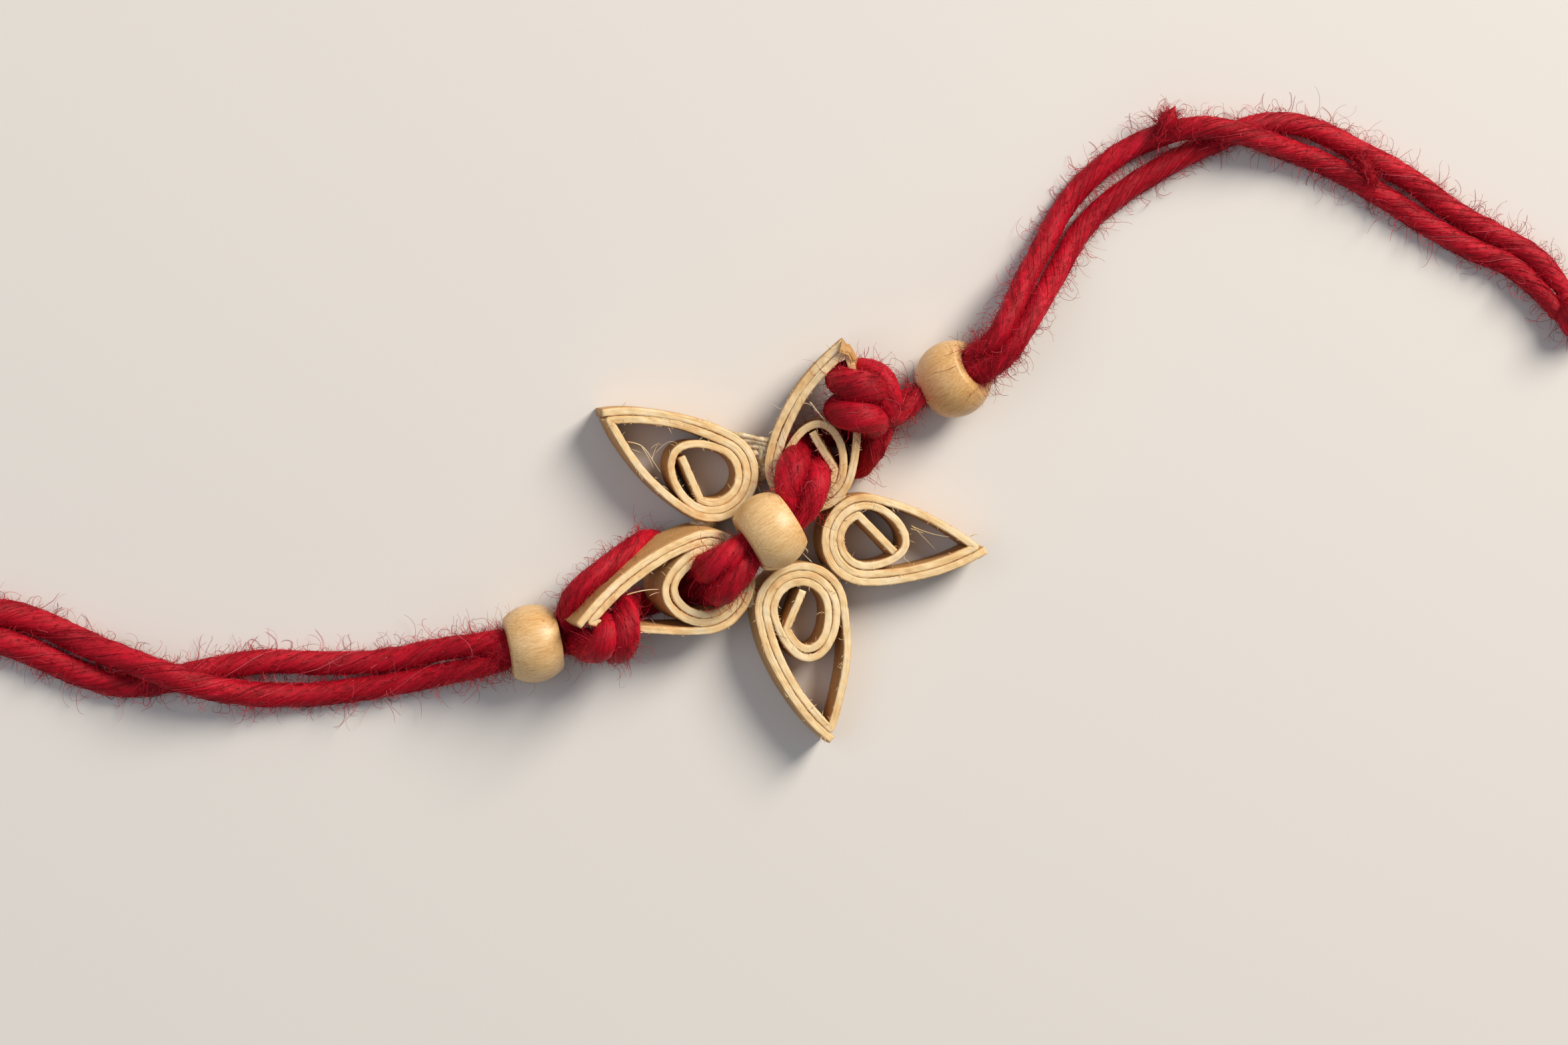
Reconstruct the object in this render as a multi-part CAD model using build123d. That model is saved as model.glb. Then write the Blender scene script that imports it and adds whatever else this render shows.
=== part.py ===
from build123d import *
from collections import namedtuple
from math import cos, degrees, pi, radians, sin, sqrt, tan
import os

# A rakhi wrist band: five petals, each one thin wooden strip wound into a pointed coil, glued side
# by side into a flower, with a wooden bead in the middle and one at each side, all threaded on two
# soft yarns. It lies on a table, as it is kept. Millimetres; X runs along the band, Y across it and
# Z up. The origin is on the table, under the middle of the flower and side beads.

# Wooden strip
strip_width = 5.0
strip_thickness = 0.74
layer_gap = 0.08

# Petals, as a coil and the fold at its pointed end
coil_radius = 4.8
petal_reach = 12.5

# Wooden beads: a ball with two flat ends, drilled along its axis
bead_diameter = 8.0
bead_length = 5.4
bead_bore = 3.6
bead_edge = 0.3
bead_clearance = 0.1

# Yarn, loose in the free strands and drawn tight where the flower holds it
strand_diameter = 2.1
held_diameter = 1.5
yarn_clearance = 0.2
side_gap = 0.1
crossing_clear = 3.0

# How far out of a bead's hole the yarn runs straight, for the held and the free yarn
mouth_run = 0.3
exit_run = 1.5
bead_lead = 3.0

# Dried glue between neighbouring petals
glue_length = 2.6
glue_height = 3.4

# Knots that end the band, and the two tails beyond each
knot_diameter = 4.6
knot_length = 3.8
knot_edge = 0.5
knot_lead = 3.2
tail_length = 9.0

# Unit of the places in the tables of beads, free strands and knots
plan_unit = 1.0

OUT_FOLDER = "parts"

# bearing, spread: where the coil's top centre lies from the middle of the flower, in degrees and
# coil radii. heading: the way the petal points. reach and coil: shares of petal_reach and
# coil_radius. leave_a and leave_b: how far round the coil the two sides leave it, in degrees from
# the heading, on the double side and the single side. nose: how far the closed ring reaches, in
# coil radii. rings: how many times it closes. end and tail: where the strip folds inside the ring,
# and where its straight tail lands, in degrees from the heading by way of the double side.
# overrun: how far the strip's outer end passes the fold, in thicknesses. side: 1 where the double
# side lies counter-clockwise of the heading. tilt, tilt_heading and lift: how the petal leans on
# the yarn, in degrees, degrees and strip thicknesses.
Petal = namedtuple(
    "Petal",
    "name bearing spread heading reach coil leave_a leave_b nose rings end tail overrun"
    " side tilt tilt_heading lift",
)
PETALS = [
    Petal("petal_1", 136.2, 1.915, 152.0, 0.96, 1.00, 89, 85, 1.02, 1, 268, 2, 0.9, -1, 0, 0, 0),
    Petal("petal_2", 65.7, 1.64, 72.6, 1.00, 0.97, 95, 86, 1.01, 1, 280, 13, 1.3, 1, 12, 15, 0.6),
    Petal("petal_3", -2.6, 1.965, -4.2, 0.92, 0.98, 87, 80, 0.94, 1, 248, 20, 1.1, -1, 0, 0, 0),
    Petal("petal_4", -70.9, 1.665, -76.0, 1.015, 1.01, 92, 86, 1.14, 2, 57, 197, 1.2, -1, 0, 0, 0),
    Petal("petal_5", 211.8, 1.79, 195.6, 1.06, 1.12, 88, 75, 1.07, 2, 200, 0, 1.6, -1, 17, 160, 0),
]
PETAL_BY_NAME = {petal.name: petal for petal in PETALS}

# Where the beads lie: x, y, from the middle of the flower or from the named petal's fold, the way
# the hole points, and how far its right end is tipped up
Bead = namedtuple("Bead", "name x y beside heading tip")
BEADS = [
    Bead("bead_left", -4.0, -3.0, "petal_5", 10.5, 0),
    Bead("bead_centre", -1.12, 0.7, None, 32.0, 0),
    Bead("bead_right", 18.7, 16.1, None, 34.0, 35),
]
BEAD_BY_NAME = {bead.name: bead for bead in BEADS}

# Pairs of petals that the glue joins
GLUED = [(0, 1), (1, 2), (2, 3), (3, 4), (4, 0)]

# How much closer than a layer each closed ring's nose sits inside the last one
NOSE_PITCH_SHARE = 1.15

# How far along a petal's side a wrap has come at each of its four corners, as shares of its step
WRAP_SHARES = (0, 0.2, 0.45, 0.75)

# Share of a run that the arcs at its two ends may each take
ARC_SHARE = 0.45

pitch = strip_thickness + layer_gap
held_lane = (held_diameter + side_gap) / 2
strand_lane = (strand_diameter + side_gap) / 2
over = strip_width + yarn_clearance + held_diameter
lying = held_diameter / 2


def polar(radius, angle):
    """Point at a radius and an angle in degrees."""
    return Vector(radius * cos(radians(angle)), radius * sin(radians(angle)))


def layer_radius(petal, layer):
    """Radius of the strip's middle line round the coil, counted inwards from layer 0."""
    return coil_radius * petal.coil - strip_thickness / 2 - layer * pitch


def side_arc(petal, layer, leave):
    """Centre and radius of the side that leaves the coil's layer smoothly and ends at the fold."""
    radius, reach = layer_radius(petal, layer), petal_reach * petal.reach
    back = (reach**2 - radius**2) / (2 * (radius - reach * cos(radians(leave))))
    return polar(-back, leave), radius + back


def fold_angle(petal, centre):
    """Direction of the fold as a side's centre sees it."""
    to_fold = Vector(petal_reach * petal.reach, 0) - centre
    return Vector(1, 0).get_signed_angle(to_fold, Vector(0, 0, 1))


def outer_stretch(petal):
    """From the strip's outer end down the double side, round the coil and up the single side."""
    centre, radius = side_arc(petal, 1, petal.leave_a)
    end = fold_angle(petal, centre) - degrees(petal.overrun * strip_thickness / radius)
    first = CenterArc(centre, radius + pitch, end, petal.leave_a - end)
    round_coil = CenterArc(
        (0, 0), layer_radius(petal, 0), petal.leave_a, 360 - petal.leave_b - petal.leave_a
    )
    centre, radius = side_arc(petal, 0, petal.leave_b)
    fold = fold_angle(petal, centre)
    single = mirror(CenterArc(centre, radius, petal.leave_b, fold - petal.leave_b), about=Plane.XZ)
    return [first, round_coil, single]


def nose_radius(petal, ring):
    """How far the middle line of a closed ring reaches towards the fold."""
    return coil_radius * petal.nose - strip_thickness / 2 - ring * pitch * NOSE_PITCH_SHARE


def nose_edge(petal, ring):
    """The closed end of a ring, from the single side over to the double side, one layer in."""
    start = polar(layer_radius(petal, ring + 1), -petal.leave_b)
    end = polar(layer_radius(petal, ring + 2), petal.leave_a)
    tip = polar(nose_radius(petal, ring), 0)
    return Spline(
        [start, tip, end],
        tangents=[polar(1, 90 - petal.leave_b), Vector(0, 1), polar(1, 90 + petal.leave_a)],
    )


def inner_stretch(petal):
    """From the fold down the double side and round the coil, through each ring, to the end."""
    centre, radius = side_arc(petal, 1, petal.leave_a)
    fold = fold_angle(petal, centre)
    edges = [CenterArc(centre, radius, fold, petal.leave_a - fold)]
    turn = 360 - petal.leave_b - petal.leave_a
    for ring in range(petal.rings):
        edges.append(CenterArc((0, 0), layer_radius(petal, ring + 1), petal.leave_a, turn))
        edges.append(nose_edge(petal, ring))
    last = max(petal.end - petal.leave_a, 1.0)
    edges.append(CenterArc((0, 0), layer_radius(petal, petal.rings + 1), petal.leave_a, last))
    return edges


def tail_line(petal, start):
    """The strip's straight inner tail, from its last fold to the inside of the ring."""
    share = cos(radians(min(petal.tail, 90))) ** 2
    inner = layer_radius(petal, petal.rings + 1)
    landing = inner + (nose_radius(petal, petal.rings - 1) - pitch - inner) * share
    return Line(start, polar(landing, petal.tail))


def strip_outline(petal):
    """Flat outline of the wound strip, seen from above, with the coil's centre at the origin."""
    inner = inner_stretch(petal)
    end = inner[-1] @ 1
    outline = trace(outer_stretch(petal), strip_thickness) + trace(inner, strip_thickness)
    outline += Pos(petal_reach * petal.reach, 0) * Circle(strip_thickness / 2)
    outline += Pos(end.X, end.Y) * Circle(strip_thickness / 2)
    if petal.tail:
        outline += trace(tail_line(petal, end), strip_thickness)
    return outline


def petal_place(petal):
    """Where the flat petal goes: turned to its heading, leant on the yarn and set on the table."""
    centre = polar(coil_radius * petal.spread, petal.bearing)
    drop = coil_radius * petal.coil * sin(radians(petal.tilt))
    height = strip_width * cos(radians(petal.tilt)) + drop + petal.lift * strip_thickness
    lean = Rot(0, 0, petal.tilt_heading) * Rot(0, -petal.tilt, 0) * Rot(0, 0, -petal.tilt_heading)
    return Pos(centre.X, centre.Y, height) * lean * Rot(0, 0, petal.heading) * Pos(0, 0, -strip_width)


def make_petal(petal):
    flat = extrude(strip_outline(petal), strip_width)
    if petal.side < 0:
        flat = mirror(flat, about=Plane.XZ)
    return petal_place(petal) * flat


def on_petal(name, along, across, height):
    """Point by a petal: along its heading in petal_reach, towards its double side in coil_radius
    and up its strip in millimetres."""
    petal = PETAL_BY_NAME[name]
    place = Pos(along * petal_reach, across * coil_radius * petal.side, height)
    return (petal_place(petal) * place).position


def on_table(name, along, across):
    """Middle of a held yarn that lies on the table under a place on a petal."""
    place = on_petal(name, along, across, 0)
    return Vector(place.X, place.Y, lying)


def off_wall(name, along, out, height):
    """Point by a petal's single side: along it in petal_reach, and out from the middle of the
    strip and up it in millimetres, negative on the inside."""
    petal = PETAL_BY_NAME[name]
    centre, radius = side_arc(petal, 0, petal.leave_b)
    wall = centre.Y + sqrt(radius**2 - (along * petal_reach - centre.X) ** 2)
    return on_petal(name, along, (-wall - out) / coil_radius, height)


def seat_height():
    """Height of the middle bead, which sits on the rims of the coils either side of it."""
    bead = BEAD_BY_NAME["bead_centre"]
    reach = bead_diameter / 2 + bead_clearance
    heights = []
    for petal in PETALS:
        if not petal.tilt:
            coil = polar(coil_radius * petal.spread, petal.bearing)
            gap = (coil - Vector(bead.x, bead.y) * plan_unit).length - coil_radius * petal.coil
            heights.append(strip_width + sqrt(max(reach**2 - gap**2, 0)))
    return max(heights)


def bead_place(bead):
    """Where a bead goes, with its hole along X before it is turned."""
    height = seat_height() if bead.name == "bead_centre" else bead_diameter / 2
    start = Vector(0, 0)
    if bead.beside:
        start = on_petal(bead.beside, PETAL_BY_NAME[bead.beside].reach, 0, 0)
    place = start + Vector(bead.x, bead.y) * plan_unit
    return Pos(place.X, place.Y, height) * Rot(0, 0, bead.heading) * Rot(0, -bead.tip, 0)


def make_bead(bead):
    ball = Sphere(bead_diameter / 2) & Box(bead_length, bead_diameter, bead_diameter)
    drilled = ball - Rot(0, 90, 0) * Cylinder(bead_bore / 2, bead_length * 2)
    ends = drilled.faces().filter_by(Axis.X)
    return bead_place(bead) * fillet(ends.edges(), bead_edge)


def in_bead(name, along, across):
    """Point on the line of a bead's hole, or a lane's width beside it."""
    return (bead_place(BEAD_BY_NAME[name]) * Pos(along, across, 0)).position


def bead_mouth():
    """Distance along the hole from a bead's middle to where the held yarn meets the free one."""
    return bead_length / 2 + mouth_run


def bead_exit():
    """Distance along the hole from a bead's middle to the held yarn's first bend."""
    return bead_length / 2 + exit_run


def make_glue(first, second, petals):
    """Dried glue that fills the narrow gap between two petals, half way up them."""
    middles = [petal_place(petal) * Pos(0, 0, strip_width / 2) for petal in (first, second)]
    places = [Vector(middle.position.X, middle.position.Y) for middle in middles]
    between = places[1] - places[0]
    radii = [coil_radius * petal.coil for petal in (first, second)]
    middle = places[0] + between * ((between.length + radii[0] - radii[1]) / 2 / between.length)
    width = between.length - sum(radii) + strip_thickness
    turned = Vector(1, 0).get_signed_angle(between, Vector(0, 0, 1))
    block = Box(width, glue_length, glue_height)
    block = Pos(middle.X, middle.Y, strip_width / 2) * Rot(0, 0, turned) * block
    return block - petals[first.name] - petals[second.name]


def corner_radii(points):
    """Largest arc that each corner of a route has room for."""
    radii = []
    for before, here, after in zip(points, points[1:], points[2:]):
        first, second = here - before, after - here
        half_turn = radians(first.get_angle(second)) / 2
        radii.append(ARC_SHARE * min(first.length, second.length) / tan(half_turn))
    return radii


def make_tube(name, points, diameter):
    """A yarn as a round tube: straight runs joined by the largest tangent arcs."""
    radii = corner_radii(points)
    path = FilletPolyline(points, radius=radii)
    section = Plane(origin=path @ 0, z_dir=path % 0) * Circle(diameter / 2)
    tube = sweep(section, path=path)
    expected = pi * diameter**2 / 4 * path.length
    print(f"{name}: length {path.length:.1f}, volume {tube.volume / expected:.3f} of section x"
          f" length, radii {' '.join(f'{radius:.1f}' for radius in radii)}")
    return tube


def wrap_points(name, start, wraps, step):
    """Corners of a yarn that goes over a petal's single side and back under it, again and again.
    start is a share of petal_reach, and step is in held diameters."""
    out = strip_thickness / 2 + yarn_clearance + held_diameter / 2
    above, below = strip_width + out - strip_thickness / 2, strip_thickness / 2 - out
    places = [(out, above), (-out, above), (-out, below), (out, below)]
    points = []
    for turn in range(wraps):
        for share, (aside, height) in zip(WRAP_SHARES, places):
            along = start + (turn + share) * step * held_diameter / petal_reach
            points.append(off_wall(name, along, aside, height))
    return points


def held_route_a():
    """The yarn that is wrapped round petal 5, from the left bead to the right one."""
    mouth, turn = bead_mouth(), bead_exit()
    return [
        in_bead("bead_left", -mouth, -held_lane),
        in_bead("bead_left", turn, -held_lane),
        off_wall("petal_5", 0.93, held_diameter * 1.75, held_diameter * 0.4),
        *wrap_points("petal_5", 0.8, 2, -1.47)[:-1],
        on_table("petal_5", 0.37, -0.33),
        on_table("petal_5", -0.016, -0.167),
        on_petal("petal_5", -0.016, -0.167, over),
        in_bead("bead_centre", side_gap - turn, -held_lane),
        in_bead("bead_centre", turn + held_diameter * 0.23, -held_lane),
        on_petal("petal_2", 0.016, -0.167, over),
        on_table("petal_2", 0.016, -0.167),
        on_table("petal_2", 0.08, -1.09),
        on_table("petal_2", 0.197, -1.42),
        in_bead("bead_right", -turn, -held_lane),
        in_bead("bead_right", mouth, -held_lane),
    ]


def held_route_b():
    """The yarn that is wrapped round petal 2, from the left bead to the right one."""
    mouth, turn = bead_mouth(), bead_exit()
    return [
        in_bead("bead_left", -mouth, held_lane),
        in_bead("bead_left", turn, held_lane),
        on_petal("petal_5", 0.89, 0.306, -held_diameter),
        on_petal("petal_5", 0.545, 0.76, -held_diameter * 1.7),
        on_table("petal_5", 0.215, 1.07),
        on_table("petal_5", 0.125, 0.41),
        on_table("petal_5", 0.064, 0.157),
        on_petal("petal_5", 0.064, 0.157, over),
        in_bead("bead_centre", -side_gap - turn, held_lane),
        in_bead("bead_centre", turn - held_diameter * 0.23, held_lane),
        on_petal("petal_2", 0.016, 0.167, over),
        on_table("petal_2", 0.016, 0.167),
        on_table("petal_2", 0.216, 0.125),
        on_table("petal_2", 0.288, -0.5),
        on_table("petal_2", 0.344, -1.15),
        *wrap_points("petal_2", 0.432, 2, 1.6),
        in_bead("bead_right", -turn, held_lane),
        in_bead("bead_right", mouth, held_lane),
    ]


# The four free strands, from a bead's hole to the knot at the end of the band. Each point is x, y
# and how far it is raised off the table, as a share of the rise that clears a crossing.
FREE_ROUTES = {
    "strand_left_a": [
        (-34.8, -13.8, 0.16), (-39.6, -14.9, 0), (-46.0, -15.9, 0), (-52.3, -16.1, 0.08),
        (-58.0, -15.4, 1), (-63.6, -13.6, 1), (-69.4, -11.3, 0.08), (-75.2, -8.7, 0),
    ],
    "strand_left_b": [
        (-35.1, -11.3, 0.16), (-39.6, -12.5, 0), (-46.0, -13.3, 0), (-52.6, -12.8, 0),
        (-59.4, -14.0, 0), (-65.6, -15.6, 0), (-71.0, -14.3, 0), (-75.8, -11.4, 0),
    ],
    "strand_right_a": [
        (23.9, 22.6, 1.25), (25.6, 26.2, 0.82), (27.5, 30.2, 0.24), (30.6, 34.8, 0),
        (34.6, 39.0, 0), (39.2, 41.7, 0.08), (44.9, 42.6, 1), (50.6, 41.4, 1),
        (56.8, 37.9, 0.08), (62.6, 34.6, 0), (69.4, 30.4, 0), (75.6, 27.0, 0),
    ],
    "strand_right_b": [
        (25.6, 21.0, 1.25), (27.8, 24.6, 0.82), (30.0, 28.4, 0.24), (33.0, 32.4, 0),
        (36.8, 35.8, 0), (41.2, 38.6, 0), (46.6, 41.2, 0), (52.6, 43.4, 0), (58.8, 40.6, 0),
        (65.6, 36.6, 0), (71.4, 32.4, 0), (77.0, 29.4, 0),
    ],
}

# Where each free strand starts: its bead, the end of the hole it comes out of, and its lane
FREE_STARTS = {
    "strand_left_a": ("bead_left", -1, -1),
    "strand_left_b": ("bead_left", -1, 1),
    "strand_right_a": ("bead_right", 1, 1),
    "strand_right_b": ("bead_right", 1, -1),
}

# Knots: x, y, the way the band runs into them, and the strands on their right and left
Knot = namedtuple("Knot", "name x y heading right left")
KNOTS = [
    Knot("end_knot_left", -84.9, -9.2, 182.0, "strand_left_a", "strand_left_b"),
    Knot("end_knot_right", 86.9, 23.0, -27.0, "strand_right_a", "strand_right_b"),
]


def free_route(name):
    """A free strand's points: out of its bead, along its table of points and into its knot."""
    bead, end, lane = FREE_STARTS[name]
    runs = (0, bead_lead)
    starts = [in_bead(bead, end * (bead_mouth() + run), lane * strand_lane) for run in runs]
    knot = next(knot for knot in KNOTS if name in knot)
    side = -strand_lane if name == knot.right else strand_lane
    runs = [-knot_length / 2 - knot_lead, -knot_length / 2]
    ends = [(knot_place(knot) * Pos(run, side, 0)).position for run in runs]
    rise = strand_diameter + crossing_clear
    table = [
        Vector(x * plan_unit, y * plan_unit, strand_diameter / 2 + up * rise)
        for x, y, up in FREE_ROUTES[name]
    ]
    return [*starts, *table, *ends]


def knot_place(knot):
    place = Pos(knot.x * plan_unit, knot.y * plan_unit, knot_diameter / 2)
    return place * Rot(0, 0, knot.heading)


def make_knot(knot):
    """A knot of both strands, as a short thick roll, with its two tails lying on the table."""
    roll = Rot(0, 90, 0) * Cylinder(knot_diameter / 2, knot_length)
    roll = knot_place(knot) * fillet(roll.edges(), knot_edge)
    drop = (strand_diameter - knot_diameter) / 2
    bend = knot_length / 2 + strand_diameter * 0.57
    for side in (-strand_diameter, strand_diameter):
        points = [
            (knot_length * 0.2, side * 0.24, 0),
            (bend, side * 0.52, drop + strand_diameter * 0.29),
            (knot_length / 2 + tail_length, side * 1.14, drop),
        ]
        route = [(knot_place(knot) * Pos(*point)).position for point in points]
        roll += make_tube(f"{knot.name} tail", route, strand_diameter)
    return roll


def build():
    """Every piece of the band, by name, in the photographed place."""
    petals = {petal.name: make_petal(petal) for petal in PETALS}
    pieces = dict(petals)
    pieces |= {bead.name: make_bead(bead) for bead in BEADS}
    for number, (first, second) in enumerate(GLUED, 1):
        pieces[f"glue_{number}"] = make_glue(PETALS[first], PETALS[second], petals)
    pieces["yarn_held_a"] = make_tube("yarn_held_a", held_route_a(), held_diameter)
    pieces["yarn_held_b"] = make_tube("yarn_held_b", held_route_b(), held_diameter)
    pieces |= {name: make_tube(name, free_route(name), strand_diameter) for name in FREE_ROUTES}
    pieces |= {knot.name: make_knot(knot) for knot in KNOTS}
    return pieces


def free_cord(name):
    return name.startswith(("strand_", "end_knot_"))


def recentred(pieces):
    """The pieces moved so that the flower and side beads stand on the middle of the origin."""
    box = Compound([piece for name, piece in pieces.items() if not free_cord(name)]).bounding_box()
    shift = Pos(-box.center().X, -box.center().Y, -box.min.Z)
    print(f"origin moved by {shift.position}")
    return {name: shift * piece for name, piece in pieces.items()}


os.makedirs(OUT_FOLDER, exist_ok=True)
for piece_name, piece_solid in recentred(build()).items():
    export_step(piece_solid, f"{OUT_FOLDER}/{piece_name}.step")
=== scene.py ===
import math
from collections import namedtuple

import bmesh
import bpy
import numpy as np
from mathutils import Matrix, Vector, noise


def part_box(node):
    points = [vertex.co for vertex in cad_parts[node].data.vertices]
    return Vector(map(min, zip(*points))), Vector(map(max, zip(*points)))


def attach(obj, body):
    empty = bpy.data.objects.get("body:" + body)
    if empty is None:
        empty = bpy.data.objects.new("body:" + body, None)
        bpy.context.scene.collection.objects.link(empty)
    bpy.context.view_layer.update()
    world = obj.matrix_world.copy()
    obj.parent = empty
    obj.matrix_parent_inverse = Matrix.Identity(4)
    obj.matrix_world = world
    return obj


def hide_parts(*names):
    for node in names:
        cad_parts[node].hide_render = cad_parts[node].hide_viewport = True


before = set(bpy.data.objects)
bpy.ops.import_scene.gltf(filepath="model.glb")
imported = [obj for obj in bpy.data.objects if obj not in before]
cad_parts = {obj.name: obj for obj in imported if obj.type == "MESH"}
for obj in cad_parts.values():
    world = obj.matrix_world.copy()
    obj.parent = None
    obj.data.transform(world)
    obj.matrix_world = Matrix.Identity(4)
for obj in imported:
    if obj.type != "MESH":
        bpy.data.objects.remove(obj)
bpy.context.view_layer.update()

# A rakhi wrist band on a pale table: five petals of wound cane strip, three turned wooden beads
# and soft red yarn. Lengths in the tables are millimetres, and a place is measured from the middle
# of the flower, on the table. Single sizes of the band and the camera are in small letters, and
# tables and the settings for how things are drawn are in capitals.

MM = 0.001


def middle_of(node):
    low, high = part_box(node)
    return (low + high) / 2


# The middle bead's place from the middle of the flower, which ties these places to the frame
middle_bead = Vector((-1.12, 0.7, 0))
flower = middle_of("bead_centre") - middle_bead * MM
flower.z = 0


def at(x, y, z=0.0):
    """A place in millimetres from the middle of the flower, as a point of the frame."""
    return flower + Vector((x, y, z)) * MM


def linked(name, data):
    """A new object in the scene."""
    thing = bpy.data.objects.new(name, data)
    bpy.context.scene.collection.objects.link(thing)
    return thing


# Camera, at the photograph's angle: the picture's width in pixels, the millimetres that one of
# them shows where the camera aims, the lens, that place, and the way from it back to the camera
picture_pixels = 2353
pixel_size = 0.0684
lens_mm = 100
sensor_mm = 36
aim = (0.79, 1.44, 5.0)
view_lean = (-0.17, 0.05, 1.0)


def add_camera():
    data = bpy.data.cameras.new("camera")
    data.lens = lens_mm
    data.sensor_width = sensor_mm
    camera = linked("camera", data)
    backward = Vector(view_lean).normalized()
    right = Vector((0, 1, 0)).cross(backward).normalized()
    turn = Matrix((right, backward.cross(right), backward)).transposed().to_4x4()
    distance = picture_pixels * pixel_size * lens_mm / sensor_mm * MM
    camera.matrix_world = Matrix.Translation(at(*aim) + backward * distance) @ turn
    bpy.context.scene.camera = camera


add_camera()


# Yarn lines

# The step along a line in millimetres, and the steps to a span of the spline that it follows
LINE_STEP = 0.4
SPLINE_STEPS = 24


def distances(points):
    """How far along a line each of its points lies."""
    runs = np.linalg.norm(np.diff(points, axis=0), axis=1)
    return np.concatenate([[0], np.cumsum(runs)])


def vectors_at(wanted, far, vectors):
    """Vectors at the wanted distances, from those that are known at others."""
    return np.stack([np.interp(wanted, far, vectors[:, axis]) for axis in range(3)], axis=1)


def smooth_line(points, radii, step=LINE_STEP):
    """The smooth line that a route's points control, with a radius that follows theirs."""
    curve = bpy.data.curves.new("route", "CURVE")
    curve.dimensions = "3D"
    curve.resolution_u = SPLINE_STEPS
    spline = curve.splines.new("NURBS")
    spline.points.add(len(points) - 1)
    for target, point in zip(spline.points, points):
        target.co = (*at(*point), 1)
    spline.order_u = 3
    spline.use_endpoint_u = True
    holder = bpy.data.objects.new("route", curve)
    mesh = bpy.data.meshes.new_from_object(holder)
    traced = np.array([vertex.co for vertex in mesh.vertices])
    bpy.data.meshes.remove(mesh)
    bpy.data.objects.remove(holder)
    spans = len(points) - 2
    # In spans along the line, where each of the route's points pulls hardest
    knots = [0, *[span + 0.5 for span in range(spans)], spans]
    wide = np.interp(np.linspace(0, spans, len(traced)), knots, radii) * MM
    far = distances(traced)
    wanted = np.linspace(0, far[-1], max(int(far[-1] / (step * MM)), 2))
    return Line(vectors_at(wanted, far, traced), np.interp(wanted, far, wide))


def line_of(rows, step):
    """The line of a table's rows, each a place and a radius."""
    return smooth_line([row[:3] for row in rows], [row[3] for row in rows], step)


class Line:
    """A yarn's middle line, its radius, and a frame that turns with it as little as it can."""

    def __init__(self, points, wide):
        self.points = points
        self.wide = wide
        self.far = distances(points)
        self.length = self.far[-1]
        ahead = np.gradient(points, axis=0)
        self.ahead = ahead / np.linalg.norm(ahead, axis=1)[:, None]
        aside = np.cross(self.ahead[0], (0.1, 0.2, 1.0))
        sides = []
        for direction in self.ahead:
            aside = aside - direction * np.dot(aside, direction)
            aside = aside / np.linalg.norm(aside)
            sides.append(aside)
        self.aside = np.array(sides)
        self.up = np.cross(self.ahead, self.aside)

    def read(self, values, far):
        return vectors_at(far, self.far, values)

    def width(self, far):
        return np.interp(far, self.far, self.wide)

    def around(self, far, angle, radius):
        """Points at distances along the line, at angles and radii round it."""
        out = self.read(self.aside, far) * np.cos(angle)[:, None]
        out = out + self.read(self.up, far) * np.sin(angle)[:, None]
        return self.read(self.points, far) + out * radius[:, None]


# Meshes made from lines

# How far the lowest threads stay off the table, and how near vertices are merged, in millimetres
FLOOR_CLEAR = 0.03
MERGE_REACH = 0.0001

# The "lay" attribute is a place in the yarn's pattern: a thread's tone puts it at a spot of its own
LAY_SPREAD = np.array((90, 170, 310))


def above_floor(points, radius):
    points[..., 2] = np.maximum(points[..., 2], radius + FLOOR_CLEAR * MM)
    return points


def unit(vectors):
    return vectors / np.linalg.norm(vectors, axis=-1, keepdims=True)


def mesh_of(thing):
    """The finished mesh of a curve object."""
    graph = bpy.context.evaluated_depsgraph_get()
    return bpy.data.meshes.new_from_object(thing.evaluated_get(graph))


def mesh_from(shaped, name):
    """The finished mesh of what was shaped."""
    mesh = bpy.data.meshes.new(name)
    shaped.to_mesh(mesh)
    shaped.free()
    return mesh


def smoothed(mesh):
    mesh.polygons.foreach_set("use_smooth", [True] * len(mesh.polygons))
    return mesh


def round_profile(sides):
    """A thread's section, one unit in radius, clockwise so that the thread's faces point out."""
    curve = bpy.data.curves.new("thread section", "CURVE")
    spline = curve.splines.new("POLY")
    spline.points.add(sides - 1)
    for number, point in enumerate(spline.points):
        turn = -math.tau * number / sides
        point.co = (math.cos(turn), math.sin(turn), 0, 1)
    spline.use_cyclic_u = True
    return linked("thread section", curve)


def set_values(mesh, name, values):
    layer = mesh.attributes.get(name) or mesh.attributes.new(name, "FLOAT", "POINT")
    layer.data.foreach_set("value", values.ravel())


def set_vectors(mesh, name, values):
    layer = mesh.attributes.get(name) or mesh.attributes.new(name, "FLOAT_VECTOR", "POINT")
    layer.data.foreach_set("vector", values.ravel())


def threads(name, lines, radii, tones, sides=3):
    """One mesh of many thin threads: a line, its radii and one tone for each."""
    curve = bpy.data.curves.new(name, "CURVE")
    curve.dimensions = "3D"
    section = round_profile(sides)
    curve.bevel_mode = "OBJECT"
    curve.bevel_object = section
    for line, radius in zip(lines, radii):
        spline = curve.splines.new("POLY")
        spline.points.add(len(line) - 1)
        places = np.ones((len(line), 4))
        places[:, :3] = line
        spline.points.foreach_set("co", places.ravel())
        spline.points.foreach_set("radius", np.broadcast_to(radius, len(line)).astype(float))
        spline.use_smooth = True
    holder = linked(name, curve)
    mesh = mesh_of(holder)
    bpy.data.objects.remove(holder)
    bpy.data.objects.remove(section)
    counts = [len(line) * sides for line in lines]
    tone = np.repeat(np.array(tones, float), counts)
    set_values(mesh, "tone", tone)
    set_vectors(mesh, "lay", tone[:, None] * LAY_SPREAD)
    return smoothed(mesh)


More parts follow.
